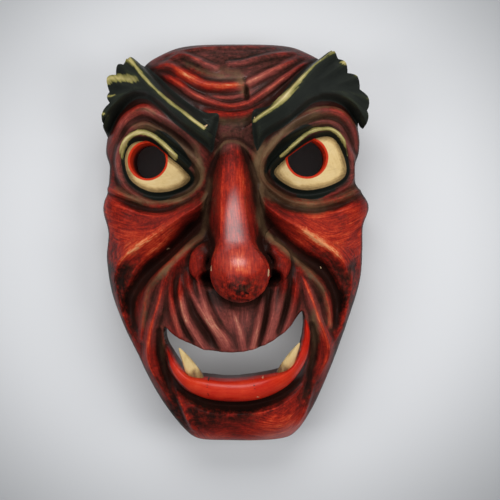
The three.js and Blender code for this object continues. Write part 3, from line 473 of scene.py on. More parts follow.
def prism(name, outline, low, high, low_outline=None):
    """A block with one outline above and, where it tapers, another below."""
    outline = np.asarray(outline, float)
    below = outline if low_outline is None else np.asarray(low_outline, float)
    n = len(outline)
    points = np.vstack([np.column_stack([below, np.full(n, low)]),
                        np.column_stack([outline, np.full(n, high)])])
    i = np.arange(n)
    j = (i + 1) % n
    faces = np.column_stack([i, j, j + n, i + n]).tolist() + [i[::-1].tolist(), (i + n).tolist()]
    area = np.sum(outline[:, 0] * np.roll(outline[:, 1], -1) - np.roll(outline[:, 0], -1) * outline[:, 1])
    mesh = bpy.data.meshes.new(name)
    mesh.from_pydata((points / 1000).tolist(), [], faces)
    if area < 0:
        mesh.flip_normals()
    return put_in_scene(name, mesh)


def cut(target, tool, operation):
    change = target.modifiers.new("cut", "BOOLEAN")
    change.operation = operation
    change.solver = "MANIFOLD"
    change.object = tool
    result = bpy.data.meshes.new_from_object(target.evaluated_get(bpy.context.evaluated_depsgraph_get()))
    target.modifiers.remove(change)
    old, target.data = target.data, result
    bpy.data.meshes.remove(old)
    bpy.data.objects.remove(tool)


def leaf_outline(points, root):
    line = []
    for k in range(1, len(points) - 1, 2):
        a, b, c = (np.array(points[k + o], float) for o in (-1, 0, 1))
        for t in np.arange(6) / 6:
            line.append((1 - t) ** 2 * a + 2 * t * (1 - t) * b + t * t * c)
    return np.array(line + [points[-1], root], float)


def circle(centre, radius, count=64):
    angle = np.arange(count) * 2 * np.pi / count
    return np.column_stack([centre[0] + radius * np.cos(angle), centre[1] + radius * np.sin(angle)])


gx, gy = grid_over(field_step)
fx, fy = gx.ravel(), gy.ravel()
face = carved_height(fx, fy)
side_distance = distance_from(side_outline, fx, fy)
mouth_distance = distance_from(mouth_outline, fx, fy, 6)
on_body = side_distance < 0.5
face = np.where(on_body & (np.abs(face) < 58), round_over(face, -side_distance, rim_rounding), face)
face = np.where(mouth_distance < lip_rounding, round_over(face, mouth_distance, lip_rounding), face)
for eye in (left_eye, right_eye):
    from_hole = np.hypot(fx - eye["hole"][0], fy - eye["hole"][1]) - eye["radius"]
    face = np.where(from_hole < eye_rounding, round_over(face, from_hole, eye_rounding), face)

mask = block_under("mask_block", gx, gy, face.reshape(gx.shape), under_all)
blank = prism("blank", side_outline, 0, above_all)
for leaves, root in ((left_leaves, (-50, 95)), (right_leaves, (50, 95))):
    cut(blank, prism("leaves", leaf_outline(leaves, root), leaf_base, above_all - 1), "UNION")
cut(mask, blank, "INTERSECT")

# The hollow, with the shallow flutes that a wide gouge leaves
before, after = np.roll(side_outline, 2, 0), np.roll(side_outline, -2, 0)
run = (after - before) / np.linalg.norm(after - before, axis=1)[:, None]
inner_outline = side_outline + np.column_stack([run[:, 1], -run[:, 0]]) * rim_width
hx, hy = grid_over(hollow_step)
shrink = 1 + rim_width * 2 / mask_width
under = vault(hx * shrink, hy * 1.03) - wall_thickness
under = under + 10 * np.maximum(0, 1 - np.hypot(hx / 22, (hy - 4) / 46) ** 2)
flute = np.abs(np.sin((hx + 6 * np.sin(hy / 37)) * math.pi / 11))
flute = flute + 0.5 * np.abs(np.sin(hy * math.pi / 31 + hx / 17))
under = under - 0.55 * flute
hollow = block_under("hollow", hx, hy, under, -5)
cut(hollow, prism("inside", inner_outline, -4, 150), "INTERSECT")
cut(mask, hollow, "DIFFERENCE")
cut(mask, prism("mouth", mouth_outline, -1, 140), "DIFFERENCE")
for eye in (left_eye, right_eye):
    wide, narrow = circle(eye["hole"], eye["radius"]), circle(eye["hole"], eye["radius"] - hole_taper)
    front = ball_height + 1
    back = front - wall_thickness * 2
    hole = prism("hole", wide, back, front, narrow)
    cut(hole, prism("hole_front", wide, front - 0.1, 140), "UNION")
    cut(hole, prism("hole_back", narrow, -1, back + 0.1), "UNION")
    cut(hole, prism("between_lids", eye["outline"], -2, 150), "INTERSECT")
    cut(mask, hole, "DIFFERENCE")

# Fine triangles where the carving bends, fewer where it is plain
most_triangles = 185000
sharp_edge = math.radians(48)
thin_out = mask.modifiers.new("thin_out", "DECIMATE")
thin_out.ratio = min(1.0, most_triangles / sum(len(p.vertices) - 2 for p in mask.data.polygons))
carved_mesh = bpy.data.meshes.new_from_object(mask.evaluated_get(bpy.context.evaluated_depsgraph_get()))
carved_mesh.name = "carved_mask"
bpy.data.objects.remove(mask)
mask = put_in_scene("carved_mask", carved_mesh)
carved_mesh.shade_smooth()
carved_mesh.set_sharp_from_angle(angle=sharp_edge)

# Where each paint goes is kept at each point of the surface, as distances from painted outlines and lines
places = np.zeros(len(carved_mesh.vertices) * 3)
carved_mesh.vertices.foreach_get("co", places)
px, py, pz = places.reshape(-1, 3).T * 1000


def blurred(field, radius):
    """The field of heights, smoothed over the radius in millimetres."""
    width = int(3 * radius / field_step)
    kernel = np.exp(-0.5 * (np.arange(-width, width + 1) * field_step / radius) ** 2)
    kernel /= kernel.sum()
    padded = np.pad(field, width, mode="edge")
    padded = np.apply_along_axis(lambda row: np.convolve(row, kernel, "valid"), 1, padded)
    return np.apply_along_axis(lambda row: np.convolve(row, kernel, "valid"), 0, padded)


def read_field(field):
    """The field's value at each point of the mask."""
    u = np.clip((px - gx[0, 0]) / field_step, 0, field.shape[1] - 1.001)
    v = np.clip((py - gy[0, 0]) / field_step, 0, field.shape[0] - 1.001)
    i, j = u.astype(int), v.astype(int)
    s, t = u - i, v - j
    return ((field[j, i] * (1 - s) + field[j, i + 1] * s) * (1 - t)
            + (field[j + 1, i] * (1 - s) + field[j + 1, i + 1] * s) * t)


def along_lines(lines):
    """How near a place is to any of the lines: a line's strength on it, down to 0 at its width."""
    value = np.zeros(px.shape)
    for path, width, strength in lines:
        line = smooth_line(path)
        near = near_line(line, width, px, py)
        distance, share, _ = nearest_on(line, px[near], py[near])
        fade = np.clip(1 - distance / width, 0, 1)
        value[near] = np.maximum(value[near], along_list(strength, share) * fade)
    return value


def patches(ellipses):
    """The strongest of some soft round patches, each with its middle, its two radii and its strength."""
    value = np.zeros(px.shape)
    for x, y, rx, ry, strength in ellipses:
        q = np.hypot((px - x) / rx, (py - y) / ry)
        value = np.maximum(value, strength * np.clip(1 - q * q, 0, 1))
    return value


def keep(name, values, kind="FLOAT"):
    field = "value" if kind == "FLOAT" else "vector"
    data = carved_mesh.attributes.new(name, kind, "POINT").data
    data.foreach_set(field, np.asarray(values, np.float32).ravel())


# The brush follows the carving: each place is measured across and along the carved line nearest to it
ridges = frown_lines[:-1] + brow_ridges + eye_folds + cheeks + mouth_folds + lip_flutes
guides = [form["path"] for form in ridges]
guides += [lower_lip["path"], lip_crease["path"],
           [(-2, 68), (-1, 30), (2, 0), (4, -20)], [(-60, 142), (0, 147), (60, 142)],
           [(4, -38), (4, -48), (3, -56)], [(-36, -128), (-6, -124), (30, -130), (46, -122)],
           [(-98, 36), (-82, 30), (-62, 24), (-44, 27), (-30, 34)],
           [(-98, 14), (-80, 8), (-62, 6), (-44, 14), (-28, 24)],
           [(98, 38), (82, 32), (62, 24), (44, 27), (26, 34)],
           [(98, 14), (84, 6), (66, 2), (48, 10), (30, 22)],
           [(-94, -20), (-86, -52), (-74, -84)], [(94, -20), (86, -52), (72, -84)]]
guide_points = []
for index, path in enumerate(guides):
    line = smooth_line(path)
    steps = np.linalg.norm(np.diff(line, axis=0), axis=1)
    length = np.concatenate([[0], np.cumsum(steps)])
    at = np.arange(0, length[-1], 1.2)
    xs, ys = np.interp(at, length, line[:, 0]), np.interp(at, length, line[:, 1])
    tx, ty = np.gradient(xs), np.gradient(ys)
    size = np.hypot(tx, ty)
    guide_points += list(zip(xs, ys, tx / size, ty / size, at, [index] * len(at)))
tree_of_guides = KDTree(len(guide_points))
for i, point in enumerate(guide_points):
    tree_of_guides.insert((point[0], point[1], 0), i)
tree_of_guides.balance()
nearest = np.array([guide_points[tree_of_guides.find((x, y, 0))[1]] for x, y in zip(px, py)])
off_x, off_y = px - nearest[:, 0], py - nearest[:, 1]
across = nearest[:, 2] * off_y - nearest[:, 3] * off_x
along = nearest[:, 4] + nearest[:, 2] * off_x + nearest[:, 3] * off_y
keep("brush", np.column_stack([across, along, nearest[:, 5] * 7.3]), "FLOAT_VECTOR")

# Distances from the painted outlines and the block's edges, and how the carving bends at small and at
# medium size; raw is 1 on bare wood
lip_outline = smooth_line([
    (-49, -66), (-48, -76), (-43, -92), (-36, -100), (-26, -107.5), (-15, -111), (-2, -112),
    (12, -111), (25, -108), (38, -101), (46, -92), (50.5, -81), (52.5, -70), (52, -60), (49, -55),
    (45, -62), (39, -76), (28, -85), (10, -91),
    (-10, -91), (-28, -89), (-39, -82), (-46, -72)], closed=True)
field = face.reshape(gx.shape)
small = read_field(field - blurred(field, 1.8))
medium = read_field(field - blurred(field, 5.0))
depth_below = read_field(field) - pz
left_white = distance_from(left_eye["outline"], px, py)
right_white = distance_from(right_eye["outline"], px, py)
body_side = distance_from(side_outline, px, py)
in_mouth = distance_from(mouth_outline, px, py)
hole_gap = np.minimum(*(np.hypot(px - eye["hole"][0], py - eye["hole"][1]) - eye["radius"]
                        for eye in (left_eye, right_eye)))
raw = (depth_below > 5) & (body_side < -2.5) & (in_mouth > 1.5) & (hole_gap > 1.0)
keep("white", np.clip(np.minimum(left_white, right_white), -20, 20))
keep("hole", np.clip(hole_gap, -6, 20))
brow_gap = np.minimum(distance_from(left_brow, px, py), distance_from(right_brow, px, py))
keep("brow", np.clip(brow_gap, -30, 30))
keep("lip", np.clip(distance_from(lip_outline, px, py), -20, 20))
keep("crest", np.clip(small, -2, 2))
keep("relief", np.clip(medium, -6, 6))
keep("raw", np.where(raw | (pz < 0.3), 1.0, 0.0))
keep("below", np.clip(depth_below, 0, 60))
keep("edge", np.clip(-body_side, -10, 20))
# Lines of wear and of painted highlight, chips, cracks and paint, each as its path, its width and its
# strength along the way
crests = [(form["path"], 1.8, [min(1, max(0, rise / 4)) * share for rise in form["rise"]])
          for forms, share in ((frown_lines, 0.45), (cheeks, 0.6), (mouth_folds, 0.8), (lip_flutes, 0.22))
          for form in forms]
keep("wear_and_sheen_line", along_lines(crests + [
    ([(-7.5, 60), (-8, 14), (-9, 5), (-11.5, -5), (-15.5, -14), (-15.5, -23)], 1.8,
     [0.3, 0.5, 0.8, 1, 1, 0.6]),
    # A painted highlight: a wide pale band down the nose bridge onto the top of the tip, where the varnish
    # shines
    ([(1, 30), (1.5, 8), (3, -8), (4, -19)], 12, [0.1, 0.35, 0.7, 0.6]),
    ([(8.5, 52), (12.5, 7), (17, -10), (23.5, -17.5), (23, -23)], 1.8, [0.3, 0.5, 0.9, 1, 0.6]),
    ([(-90, 52), (-96, 30), (-93, 10), (-97, -10), (-88, -50), (-72, -92), (-62, -112)], 1.6,
     [0.4, 0.7, 0.5, 0.6, 0.6, 0.5, 0.4]),
    ([(96, 30), (98, 10), (97, -10), (88, -50), (72, -88), (62, -112)], 1.6,
     [0.6, 0.5, 0.6, 0.6, 0.6, 0.4])]))
keep("polish", patches([
    (2, 2, 10, 36, 1.6), (4, -12, 17, 12, 1.4), (-26, 110, 22, 8, 0.5), (-20, -72, 12, 10, 0.3),
    (-50, 98, 40, 26, 0.25), (60, 100, 40, 30, 0.3), (0, -101, 38, 7, 0.42), (-40, -92, 10, 14, 0.4),
    (46, -88, 8, 16, 0.5), (8, -62, 12, 20, 0.3), (-4, 112, 30, 10, 0.25), (32, -136, 20, 10, 0.3),
    (-60, 14, 30, 14, 0.25), (62, 14, 30, 14, 0.25), (0, 80, 10, 6, 0.3),
]))
keep("chip_line", along_lines([
    ([(-15, -17), (-14.8, -20)], 0.9, [1]), ([(22.8, -19.5), (22.6, -24)], 1.1, [1]),
    ([(-49.5, -6), (-48, -5.3)], 0.7, [1]),
    ([(18.5, -94), (19.4, -94.6)], 0.9, [1]), ([(31, 97), (33, 98)], 1.2, [1]),
    ([(13.5, 84), (14.5, 86.5)], 0.9, [0.9]),
    ([(-20, 78), (-19, 79.5)], 0.9, [1]), ([(61, -18), (62, -19.5)], 0.8, [1]),
    ([(16, -107.6), (16.6, -107.9)], 0.9, [1])]))
keep("crack_line", along_lines([
    ([(-17.5, -94), (-18.6, -100), (-18, -107)], 0.55, [0.8, 1, 0.6]),
    ([(12, -96), (14, -102)], 0.5, [0.8]),
    ([(7.5, -34), (9.6, -34.6)], 1.1, [1]), ([(8.5, -39), (10, -39.4)], 0.8, [1]),
    ([(-8, 12), (-7, 14)], 0.5, [0.8])]))
keep("cream_line", along_lines([
    ([(23, 88), (33, 97), (46, 109)], 5, [0.5, 1.1, 0.4]),
    ([(-73, 127), (-66, 118), (-56, 106)], 4.4, [0.65, 0.5, 0.3]),
    ([(99, 100), (96, 90)], 2.4, [0.5, 0.4]),
    ([(-21, 77), (-34, 86.5), (-48.5, 98.5), (-63, 113.5), (-73, 127), (-75, 130)], 2.5,
     [1, 0.95, 0.9, 0.8, 0.8, 1]),
    ([(14, 82.5), (25.5, 90), (33.5, 98), (43.5, 109), (54, 120), (66, 131)], 2.7,
     [1, 1, 1, 0.9, 0.75, 0.7]),
    ([(-82, 57), (-81, 67), (-77, 74.5), (-69, 77.8), (-61, 76.3), (-52, 70), (-42.5, 60)], 3.3,
     [0.4, 0.75, 0.95, 1, 0.95, 1, 0.9]),
    ([(33, 60.5), (44, 70.5), (52, 77), (60, 80), (70, 80), (77, 73), (81, 62)], 2.7,
     [0.7, 1, 1, 0.9, 0.8, 0.7, 0.4]),
    ([(-63, 108), (-72, 113), (-85, 116), (-93, 115.5)], 6, [0.1, 0.6, 0.9, 0.9]),
    ([(-64, 116), (-72, 125), (-78, 129)], 5.0, [0.3, 0.75, 0.7]),
    ([(-80, 104), (-91, 104)], 2.6, [0.2, 0.7]),
    ([(-90, 90), (-97, 92)], 2.6, [0.2, 0.7]), ([(71, 125), (79, 126)], 3, [0.3, 0.8]),
    ([(80, 117), (89, 118.5)], 2.4, [0.2, 0.6]),
    ([(88, 104), (97, 102)], 2.4, [0.1, 0.5]), ([(64, 128), (69, 133)], 4, [0.5, 0.9]),
]))
# Black round the eyes: black paint, and painted shadow under the upper lids and in the grooves below them
keep("black_paint_and_shadow", along_lines([
    ([(-60, 79), (-50, 73), (-41, 64), (-34.5, 55)], 6.2, [0.3, 0.8, 1, 0.75]),
    ([(22, 50), (28, 59), (37, 68.5), (48, 77), (58, 82)], 7, [0.4, 0.8, 0.9, 0.8, 0.3]),
    ([(-66, 33), (-54, 31.5), (-44, 34)], 4.5, [0.4, 0.8, 0.4]),
    ([(46, 33), (58, 33.5), (70, 38)], 6, [0.5, 0.9, 0.6]),
]))
keep("tan_line", along_lines([
    ([(-18, 42), (-21, 25), (-22, 8), (-31, -2), (-46, -17), (-59, -32), (-64, -47), (-65, -62)], 4.2,
     [0.6, 0.7, 1, 0.9, 0.7, 0.6, 0.5, 0.3]),
    ([(17, 44), (18, 28), (20, 8), (33, -4), (48, -18), (60, -32), (65, -46), (69, -62)], 4.2,
     [0.9, 0.9, 1, 0.9, 0.7, 0.6, 0.5, 0.3]),
    ([(-28, 66), (-25.5, 50), (-27.5, 41), (-39, 31.5), (-56, 28), (-72, 30), (-86, 37)], 5.5,
     [0.5, 1, 1.3, 0.9, 0.6, 0.6, 0.4]),
    ([(18, 66), (17, 50), (23, 36), (40, 27.5), (58, 24.5), (76, 30), (88, 38)], 8,
     [0.7, 1, 1, 0.8, 0.7, 0.5, 0.3]),
    ([(-74, 83), (-62, 82), (-48, 74), (-35, 64), (-24, 52)], 4.5, [0.4, 0.9, 0.9, 0.9, 0.7]),
    ([(20, 60), (33, 75), (50, 86), (66, 89), (80, 86)], 5, [0.8, 0.9, 0.9, 0.7, 0.3]),
    ([(-22, 86), (-8, 83), (6, 83), (15, 87)], 4, [0.4, 0.6, 0.5, 0.4]),
    ([(-16, 56), (-9, 66), (-2, 68.5), (6, 66), (13, 56)], 2.6, [0.2, 0.5, 0.6, 0.5, 0.2]),
    ([(-50, -60), (-52, -78), (-50, -94)], 4, [0.2, 0.5, 0.3]),
    ([(55, -50), (57, -70), (55, -90)], 4, [0.6, 0.6, 0.3]),
    ([(-46, 80), (-62, 92), (-78, 90)], 2.4, [0.2, 0.6, 0.2]),
    ([(40, 84), (58, 93.5), (76, 94), (90, 82)], 2.6, [0.3, 0.8, 0.7, 0.3]),
    ([(-9, 120), (2, 116), (6, 104)], 6, [0.5, 0.7, 0.5]),
    ([(-40, 130), (-20, 118), (0, 114)], 4, [0.2, 0.6, 0.4]),
]))
# Patches of brighter red and of painted light, of painted shade, of warm and of dull paint; polish, above,
# is where the varnish shines
# Brighter red paint, and painted light: the lit cheek flats, the nose bridge and a painted highlight on the
# upper lip
keep("brighter_red_and_lit", patches([
    (-68, 90, 26, 11, 0.8), (68, 92, 24, 11, 0.6), (-48, 50, 12, 10, 0.5), (-84, 62, 10, 22, 0.4),
    (86, 60, 10, 22, 0.3), (4, -16, 20, 18, 0.55), (4, -31, 18, 12, 0.7), (0, 22, 11, 56, 0.55),
    (-74, 4, 42, 27, 0.95), (72, 6, 42, 27, 0.95), (-92, 20, 20, 22, 0.6), (0, 104, 48, 32, 0.3),
    (-34, 115, 18, 10, 0.9), (-14, 107, 18, 7, 0.35), (30, 119, 22, 12, 0.5), (-48, 124, 34, 18, 0.15),
    (45, 122, 40, 20, 0.15), (32, -128, 22, 16, 1.1), (30, -138, 32, 18, 0.9), (-20, -140, 26, 12, 0.8),
    (44, -120, 14, 20, 0.7), (-80, -50, 16, 50, 0.3), (94, -14, 9, 30, 0.6), (-64, -78, 10, 34, 0.3),
    (63, -66, 10, 34, 0.4), (-26, -16, 10, 12, 0.2), (33, -14, 10, 12, 0.2), (-88, 34, 14, 8, 0.4),
    (-56, -96, 8, 18, 0.3), (-6, -56, 46, 30, 0.6), (0, -56, 14, 26, 0.7), (-48, -34, 10, 26, 0.3),
    (50, -30, 10, 26, 0.4), (-36, -52, 14, 24, 0.55),
]))
# Painted shade: patches darker where the form turns from the light, as on the jaw sides, under the nose tip
# and the lip's ends
keep("shade", patches([
    (-88, -46, 20, 62, 0.9), (84, -52, 16, 50, 0.8), (-34, -122, 36, 22, 0.6), (4, -33, 19, 12, 1.0),
    (-56, -2, 14, 22, 0.3), (60, -12, 22, 12, 0.5), (0, 60, 14, 14, 0.25), (-60, -20, 24, 14, 0.4),
    (-4, -118, 50, 11, 0.8), (-60, -108, 16, 26, 0.6), (56, -112, 12, 22, 0.4), (0, 79, 15, 12, 0.4),
    (-39, -112, 8, 24, 0.5), (54, -112, 8, 22, 0.5), (-47, -80, 9, 16, 0.7), (52, -66, 6, 14, 0.5),
    (0, 140, 90, 24, 0.5), (-80, 20, 30, 10, 0.3), (70, -28, 30, 22, 0.4),
]))
keep("warm", 0.22 + patches([
    (0, 112, 66, 38, 0.5), (2, 16, 17, 60, 0.4), (4, -20, 26, 26, 0.4), (-66, 2, 46, 30, 0.7),
    (66, 4, 46, 30, 0.75), (0, -52, 58, 38, 0.5), (0, -130, 50, 22, 0.2), (88, -20, 18, 50, 0.4),
]))
on_nose = patches([(4, -18, 26, 28, 1.8), (1, 22, 15, 50, 1.6)])
on_frown = patches([(-36, 116, 24, 10, 1), (-12, 107.5, 22, 6, 1), (-4, 87, 24, 7, 0.7)])
keep("dull", np.clip(1 - on_nose - on_frown, 0, 1) * patches([
    (-58, 62, 46, 40, 1.2), (56, 64, 46, 40, 1.2), (0, 118, 76, 42, 0.8), (0, 76, 26, 24, 1.2),
    (0, -54, 54, 36, 1.3), (-54, -50, 18, 34, 0.6), (56, -46, 18, 34, 0.6),
]))


def shader_group(name, inputs, outputs):
    """A node group with named inputs, each with its kind and value, and named outputs."""
    group = bpy.data.node_groups.new(name, "ShaderNodeTree")
    for label, kind, value in inputs:
        socket = group.interface.new_socket(label, in_out="INPUT", socket_type="NodeSocket" + kind)
        if value is not None:
            socket.default_value = value
    for label, kind in outputs:
        group.interface.new_socket(label, in_out="OUTPUT", socket_type="NodeSocket" + kind)
    return group, group.nodes.new("NodeGroupInput").outputs, group.nodes.new("NodeGroupOutput").inputs


def joined(tree, kind, links, **settings):
    """A node of the kind, set up, with sockets given by name or number linked or set."""
    node = tree.nodes.new(kind)
    for key, value in settings.items():
        setattr(node, key, value)
    for key, value in links.items():
        if isinstance(value, bpy.types.NodeSocket):
            tree.links.new(value, node.inputs[key])
        else:
            node.inputs[key].default_value = value
    return node


def reckon(tree, operation, a, b=0.0, c=0.0):
    return joined(tree, "ShaderNodeMath", {0: a, 1: b, 2: c}, operation=operation).outputs[0]


def plus(tree, *terms):
    """The sum of some values, each either a socket or a (socket, factor) pair."""
    total = 0.0
    for term in terms:
        if isinstance(term, tuple):
            total = reckon(tree, "MULTIPLY_ADD", term[0], term[1], total)
        else:
            total = reckon(tree, "ADD", term, total)
    return total


def times(tree, a, b):
    return reckon(tree, "MULTIPLY", a, b)


def ramp_between(tree, value, low, high):
    """0 at low and 1 at high, smooth between; low may be the larger of the two."""
    links = {0: value, 1: min(low, high), 2: max(low, high), 3: float(low > high), 4: float(low < high)}
    return joined(tree, "ShaderNodeMapRange", links, interpolation_type="SMOOTHSTEP").outputs[0]


def blend_colour(tree, share, a, b):
    node = joined(tree, "ShaderNodeMix", {}, data_type="RGBA")
    for key, value in (("Factor_Float", share), ("A_Color", a), ("B_Color", b)):
        socket = next(s for s in node.inputs if s.identifier == key)
        if isinstance(value, bpy.types.NodeSocket):
            tree.links.new(value, socket)
        else:
            socket.default_value = value if isinstance(value, float) else (*value, 1.0)
    return next(s for s in node.outputs if s.identifier == "Result_Color")


def paint_range(tree, value, stops):
    """A range of mixed paints, from (share, colour) stops."""
    node = joined(tree, "ShaderNodeValToRGB", {0: value})
    band = node.color_ramp
    while len(band.elements) < len(stops):
        band.elements.new(0.5)
    for element, (share, colour) in zip(band.elements, stops):
        element.position, element.color = share, (*colour, 1.0)
    return node.outputs[0]


def noise(tree, place, scale, detail=4.0, roughness=0.55, stretch=(1, 1, 1), distortion=0.0):
    """Noise stretched along the axes of a place."""
    mapped = joined(tree, "ShaderNodeMapping", {"Vector": place, "Scale": stretch})
    return joined(tree, "ShaderNodeTexNoise", {
        "Vector": mapped.outputs[0], "Scale": scale, "Detail": detail, "Roughness": roughness,
        "Distortion": distortion}).outputs[0]


# Brushwork: fine hair marks and broader dabs that run along the carved lines, about 0 in the middle
brushwork, given, made = shader_group("brushwork", [("Lay", "Vector", None), ("Place", "Vector", None)],
                                      [("Hairs", "Float"), ("Dabs", "Float"), ("Cloud", "Float")])
hairs = noise(brushwork, given["Lay"], 1.0, 3, 0.65, (1.05, 0.085, 1))
dabs = noise(brushwork, given["Lay"], 1.0, 4, 0.6, (0.26, 0.055, 1))
cloud = noise(brushwork, given["Place"], 42, 5, 0.62)
for label, value in (("Hairs", hairs), ("Dabs", dabs), ("Cloud", cloud)):
    brushwork.links.new(reckon(brushwork, "MULTIPLY_ADD", value, 2.0, -1.0), made[label])

# Patina: umber glaze that stays in hollows, broken up by noise; the same mask also lays tan lines and
# painted shadow on the whites
patina_and_shade, given, made = shader_group(
    "patina_and_shade", [("Place", "Vector", None), ("Hollow", "Float", 0.0), ("Amount", "Float", 0.5)],
    [("Mask", "Float")])
speck = plus(patina_and_shade, (noise(patina_and_shade, given["Place"], 60, 5, 0.65), 0.65),
             (noise(patina_and_shade, given["Place"], 330, 3, 0.6), 0.35), -0.5)
held = plus(patina_and_shade, times(patina_and_shade, given["Hollow"], given["Amount"]), speck)
patina_and_shade.links.new(ramp_between(patina_and_shade, held, 0.02, 0.5), made["Mask"])


def use(tree, group, links):
    return joined(tree, "ShaderNodeGroup", links, node_tree=group).outputs


def new_material(name, coat, coat_roughness, specular=0.5):
    material = bpy.data.materials.new(name)
    material.use_nodes = True
    tree = material.node_tree
    shader = tree.nodes["Principled BSDF"]
    shader.inputs["Coat Weight"].default_value = coat
    shader.inputs["Coat Roughness"].default_value = coat_roughness
    shader.inputs["Specular IOR Level"].default_value = specular
    return material, tree, shader, tree.nodes.new("ShaderNodeTexCoord").outputs["Object"]


painted_wood, tree, shader, place = new_material("painted_wood", 0.07, 0.29, 0.03)
shader.inputs["Coat IOR"].default_value = 1.6


def kept(name, socket="Fac"):
    return joined(tree, "ShaderNodeAttribute", {}, attribute_name=name).outputs[socket]


# Reds: how bright the red is comes from the carving, from patches, painted light and shade among them, and
# the brush
crest, relief, brighter_red_and_lit, warm, dull = (kept(name) for name in ("crest", "relief", "brighter_red_and_lit", "warm", "dull"))
strokes = use(tree, brushwork, {"Lay": kept("brush", "Vector"), "Place": place})
hairs, dabs, cloud = strokes["Hairs"], strokes["Dabs"], strokes["Cloud"]
mottle = plus(tree, (noise(tree, place, 85, 6, 0.7), 0.7), (noise(tree, place, 300, 3, 0.6), 0.3))
raised = plus(tree, (ramp_between(tree, crest, 0.0, 0.5), 0.5), (ramp_between(tree, relief, 0.0, 2.2), 0.5))
sunk = plus(tree, (ramp_between(tree, crest, 0.0, -0.5), 0.45),
            (ramp_between(tree, relief, 0.0, -2.6), 0.55))
brightness = plus(tree, 0.35, (brighter_red_and_lit, 0.32), (times(tree, raised, warm), 0.34), (sunk, -0.26), (dabs, 0.20),
                  (cloud, 0.26), (mottle, -0.5), 0.25)
fine = plus(tree, (noise(tree, place, 650, 3, 0.7), 2.0), -1.0)
brightness = plus(tree, brightness, (fine, 0.16))
on_brighter_red_and_lit = plus(tree, 0.6, reckon(tree, "MINIMUM", brighter_red_and_lit, 0.8))
brightness = plus(tree, brightness, (times(tree, hairs, on_brighter_red_and_lit), 0.34))
# Painted shade: darker within 4 mm of the outline, where the face rolls over, and in the shade patches,
# mottled
brightness = plus(tree, brightness, (ramp_between(tree, kept("edge"), 4.0, 0.0), -0.28),
                  (times(tree, kept("shade"), ramp_between(tree, mottle, 0.38, 0.62)), -0.55))
wear_and_sheen_line = times(tree, kept("wear_and_sheen_line"), ramp_between(tree, plus(tree, (hairs, 0.3), cloud), -0.5, 0.45))
brightness = plus(tree, brightness, (wear_and_sheen_line, 0.42))
bright_reds = paint_range(tree, brightness, [
    (0.0, (0.010, 0.005, 0.004)), (0.16, (0.028, 0.006, 0.004)), (0.34, (0.085, 0.009, 0.006)),
    (0.5, (0.19, 0.012, 0.008)), (0.66, (0.36, 0.022, 0.010)), (0.82, (0.54, 0.055, 0.020)),
    (0.94, (0.66, 0.13, 0.045)), (1.0, (0.72, 0.28, 0.12))])
dull_reds = paint_range(tree, brightness, [
    (0.0, (0.010, 0.007, 0.005)), (0.16, (0.036, 0.014, 0.010)), (0.34, (0.085, 0.026, 0.021)),
    (0.5, (0.16, 0.040, 0.033)), (0.66, (0.27, 0.062, 0.050)), (0.8, (0.39, 0.105, 0.078)),
    (0.92, (0.52, 0.19, 0.12)), (1.0, (0.62, 0.34, 0.22))])
dullness = ramp_between(tree, plus(tree, dull, (cloud, 0.35), (wear_and_sheen_line, -0.7)), 0.15, 0.75)
colour = blend_colour(tree, dullness, bright_reds, dull_reds)
haze = use(tree, patina_and_shade, {"Place": place, "Hollow": kept("tan_line"), "Amount": 0.62})
tan = blend_colour(tree, ramp_between(tree, cloud, -0.3, 0.35), (0.085, 0.050, 0.026), (0.20, 0.13, 0.065))
colour = blend_colour(tree, times(tree, haze["Mask"], 0.85), colour, tan)
worn = use(tree, patina_and_shade, {"Place": place, "Hollow": sunk, "Amount": 0.44})
colour = blend_colour(tree, times(tree, worn["Mask"], 0.7), colour, (0.022, 0.007, 0.005))

# Brows: green-black, with olive and cream along their crests and leaves
edge_wobble = plus(tree, (noise(tree, place, 130, 3), 1.6), -0.8)
brow_edge = plus(tree, kept("brow"), edge_wobble)
on_brow = plus(tree, 0.28, (raised, 0.20), (hairs, 0.22), (cloud, 0.26), (kept("cream_line"), 0.3))
olive = paint_range(tree, on_brow, [
    (0.0, (0.009, 0.011, 0.010)), (0.45, (0.018, 0.021, 0.017)), (0.7, (0.034, 0.042, 0.022)),
    (1.0, (0.14, 0.15, 0.055))])
colour = blend_colour(tree, ramp_between(tree, brow_edge, 0.3, -0.4), colour, olive)

# Lower lip: a fuller red, almost without glaze
lip_edge = plus(tree, kept("lip"), (edge_wobble, 0.6))
# The shade patches darken the lip's ends as painted shade
on_lip = plus(tree, 0.45, (hairs, 0.25), (cloud, 0.5), (fine, 0.1),
              (ramp_between(tree, relief, -0.5, 3.5), 0.24), (sunk, -0.3), (kept("shade"), -0.45))
lip_paint = paint_range(tree, on_lip, [
    (0.0, (0.06, 0.004, 0.003)), (0.3, (0.24, 0.008, 0.004)), (0.55, (0.48, 0.014, 0.005)),
    (0.85, (0.60, 0.040, 0.013)), (1.0, (0.70, 0.14, 0.06))])
colour = blend_colour(tree, ramp_between(tree, lip_edge, 0.3, -0.7), colour, lip_paint)

# Eyes: a cream white in a black band, paint and painted shadow in the lids' walls, and a red ring round the
# hole
white = kept("white")
white_edge = plus(tree, white, (edge_wobble, 0.35))
band = times(tree, ramp_between(tree, white_edge, -0.4, 0.1), ramp_between(tree, white_edge, 3.3, 1.9))
black_paint_and_shadow = plus(tree, kept("black_paint_and_shadow"), (edge_wobble, 0.12))
band = reckon(tree, "MAXIMUM", band, ramp_between(tree, black_paint_and_shadow, 0.28, 0.42))
colour = blend_colour(tree, band, colour, olive)
colour = blend_colour(tree, times(tree, band, 0.75), colour, (0.007, 0.009, 0.007))
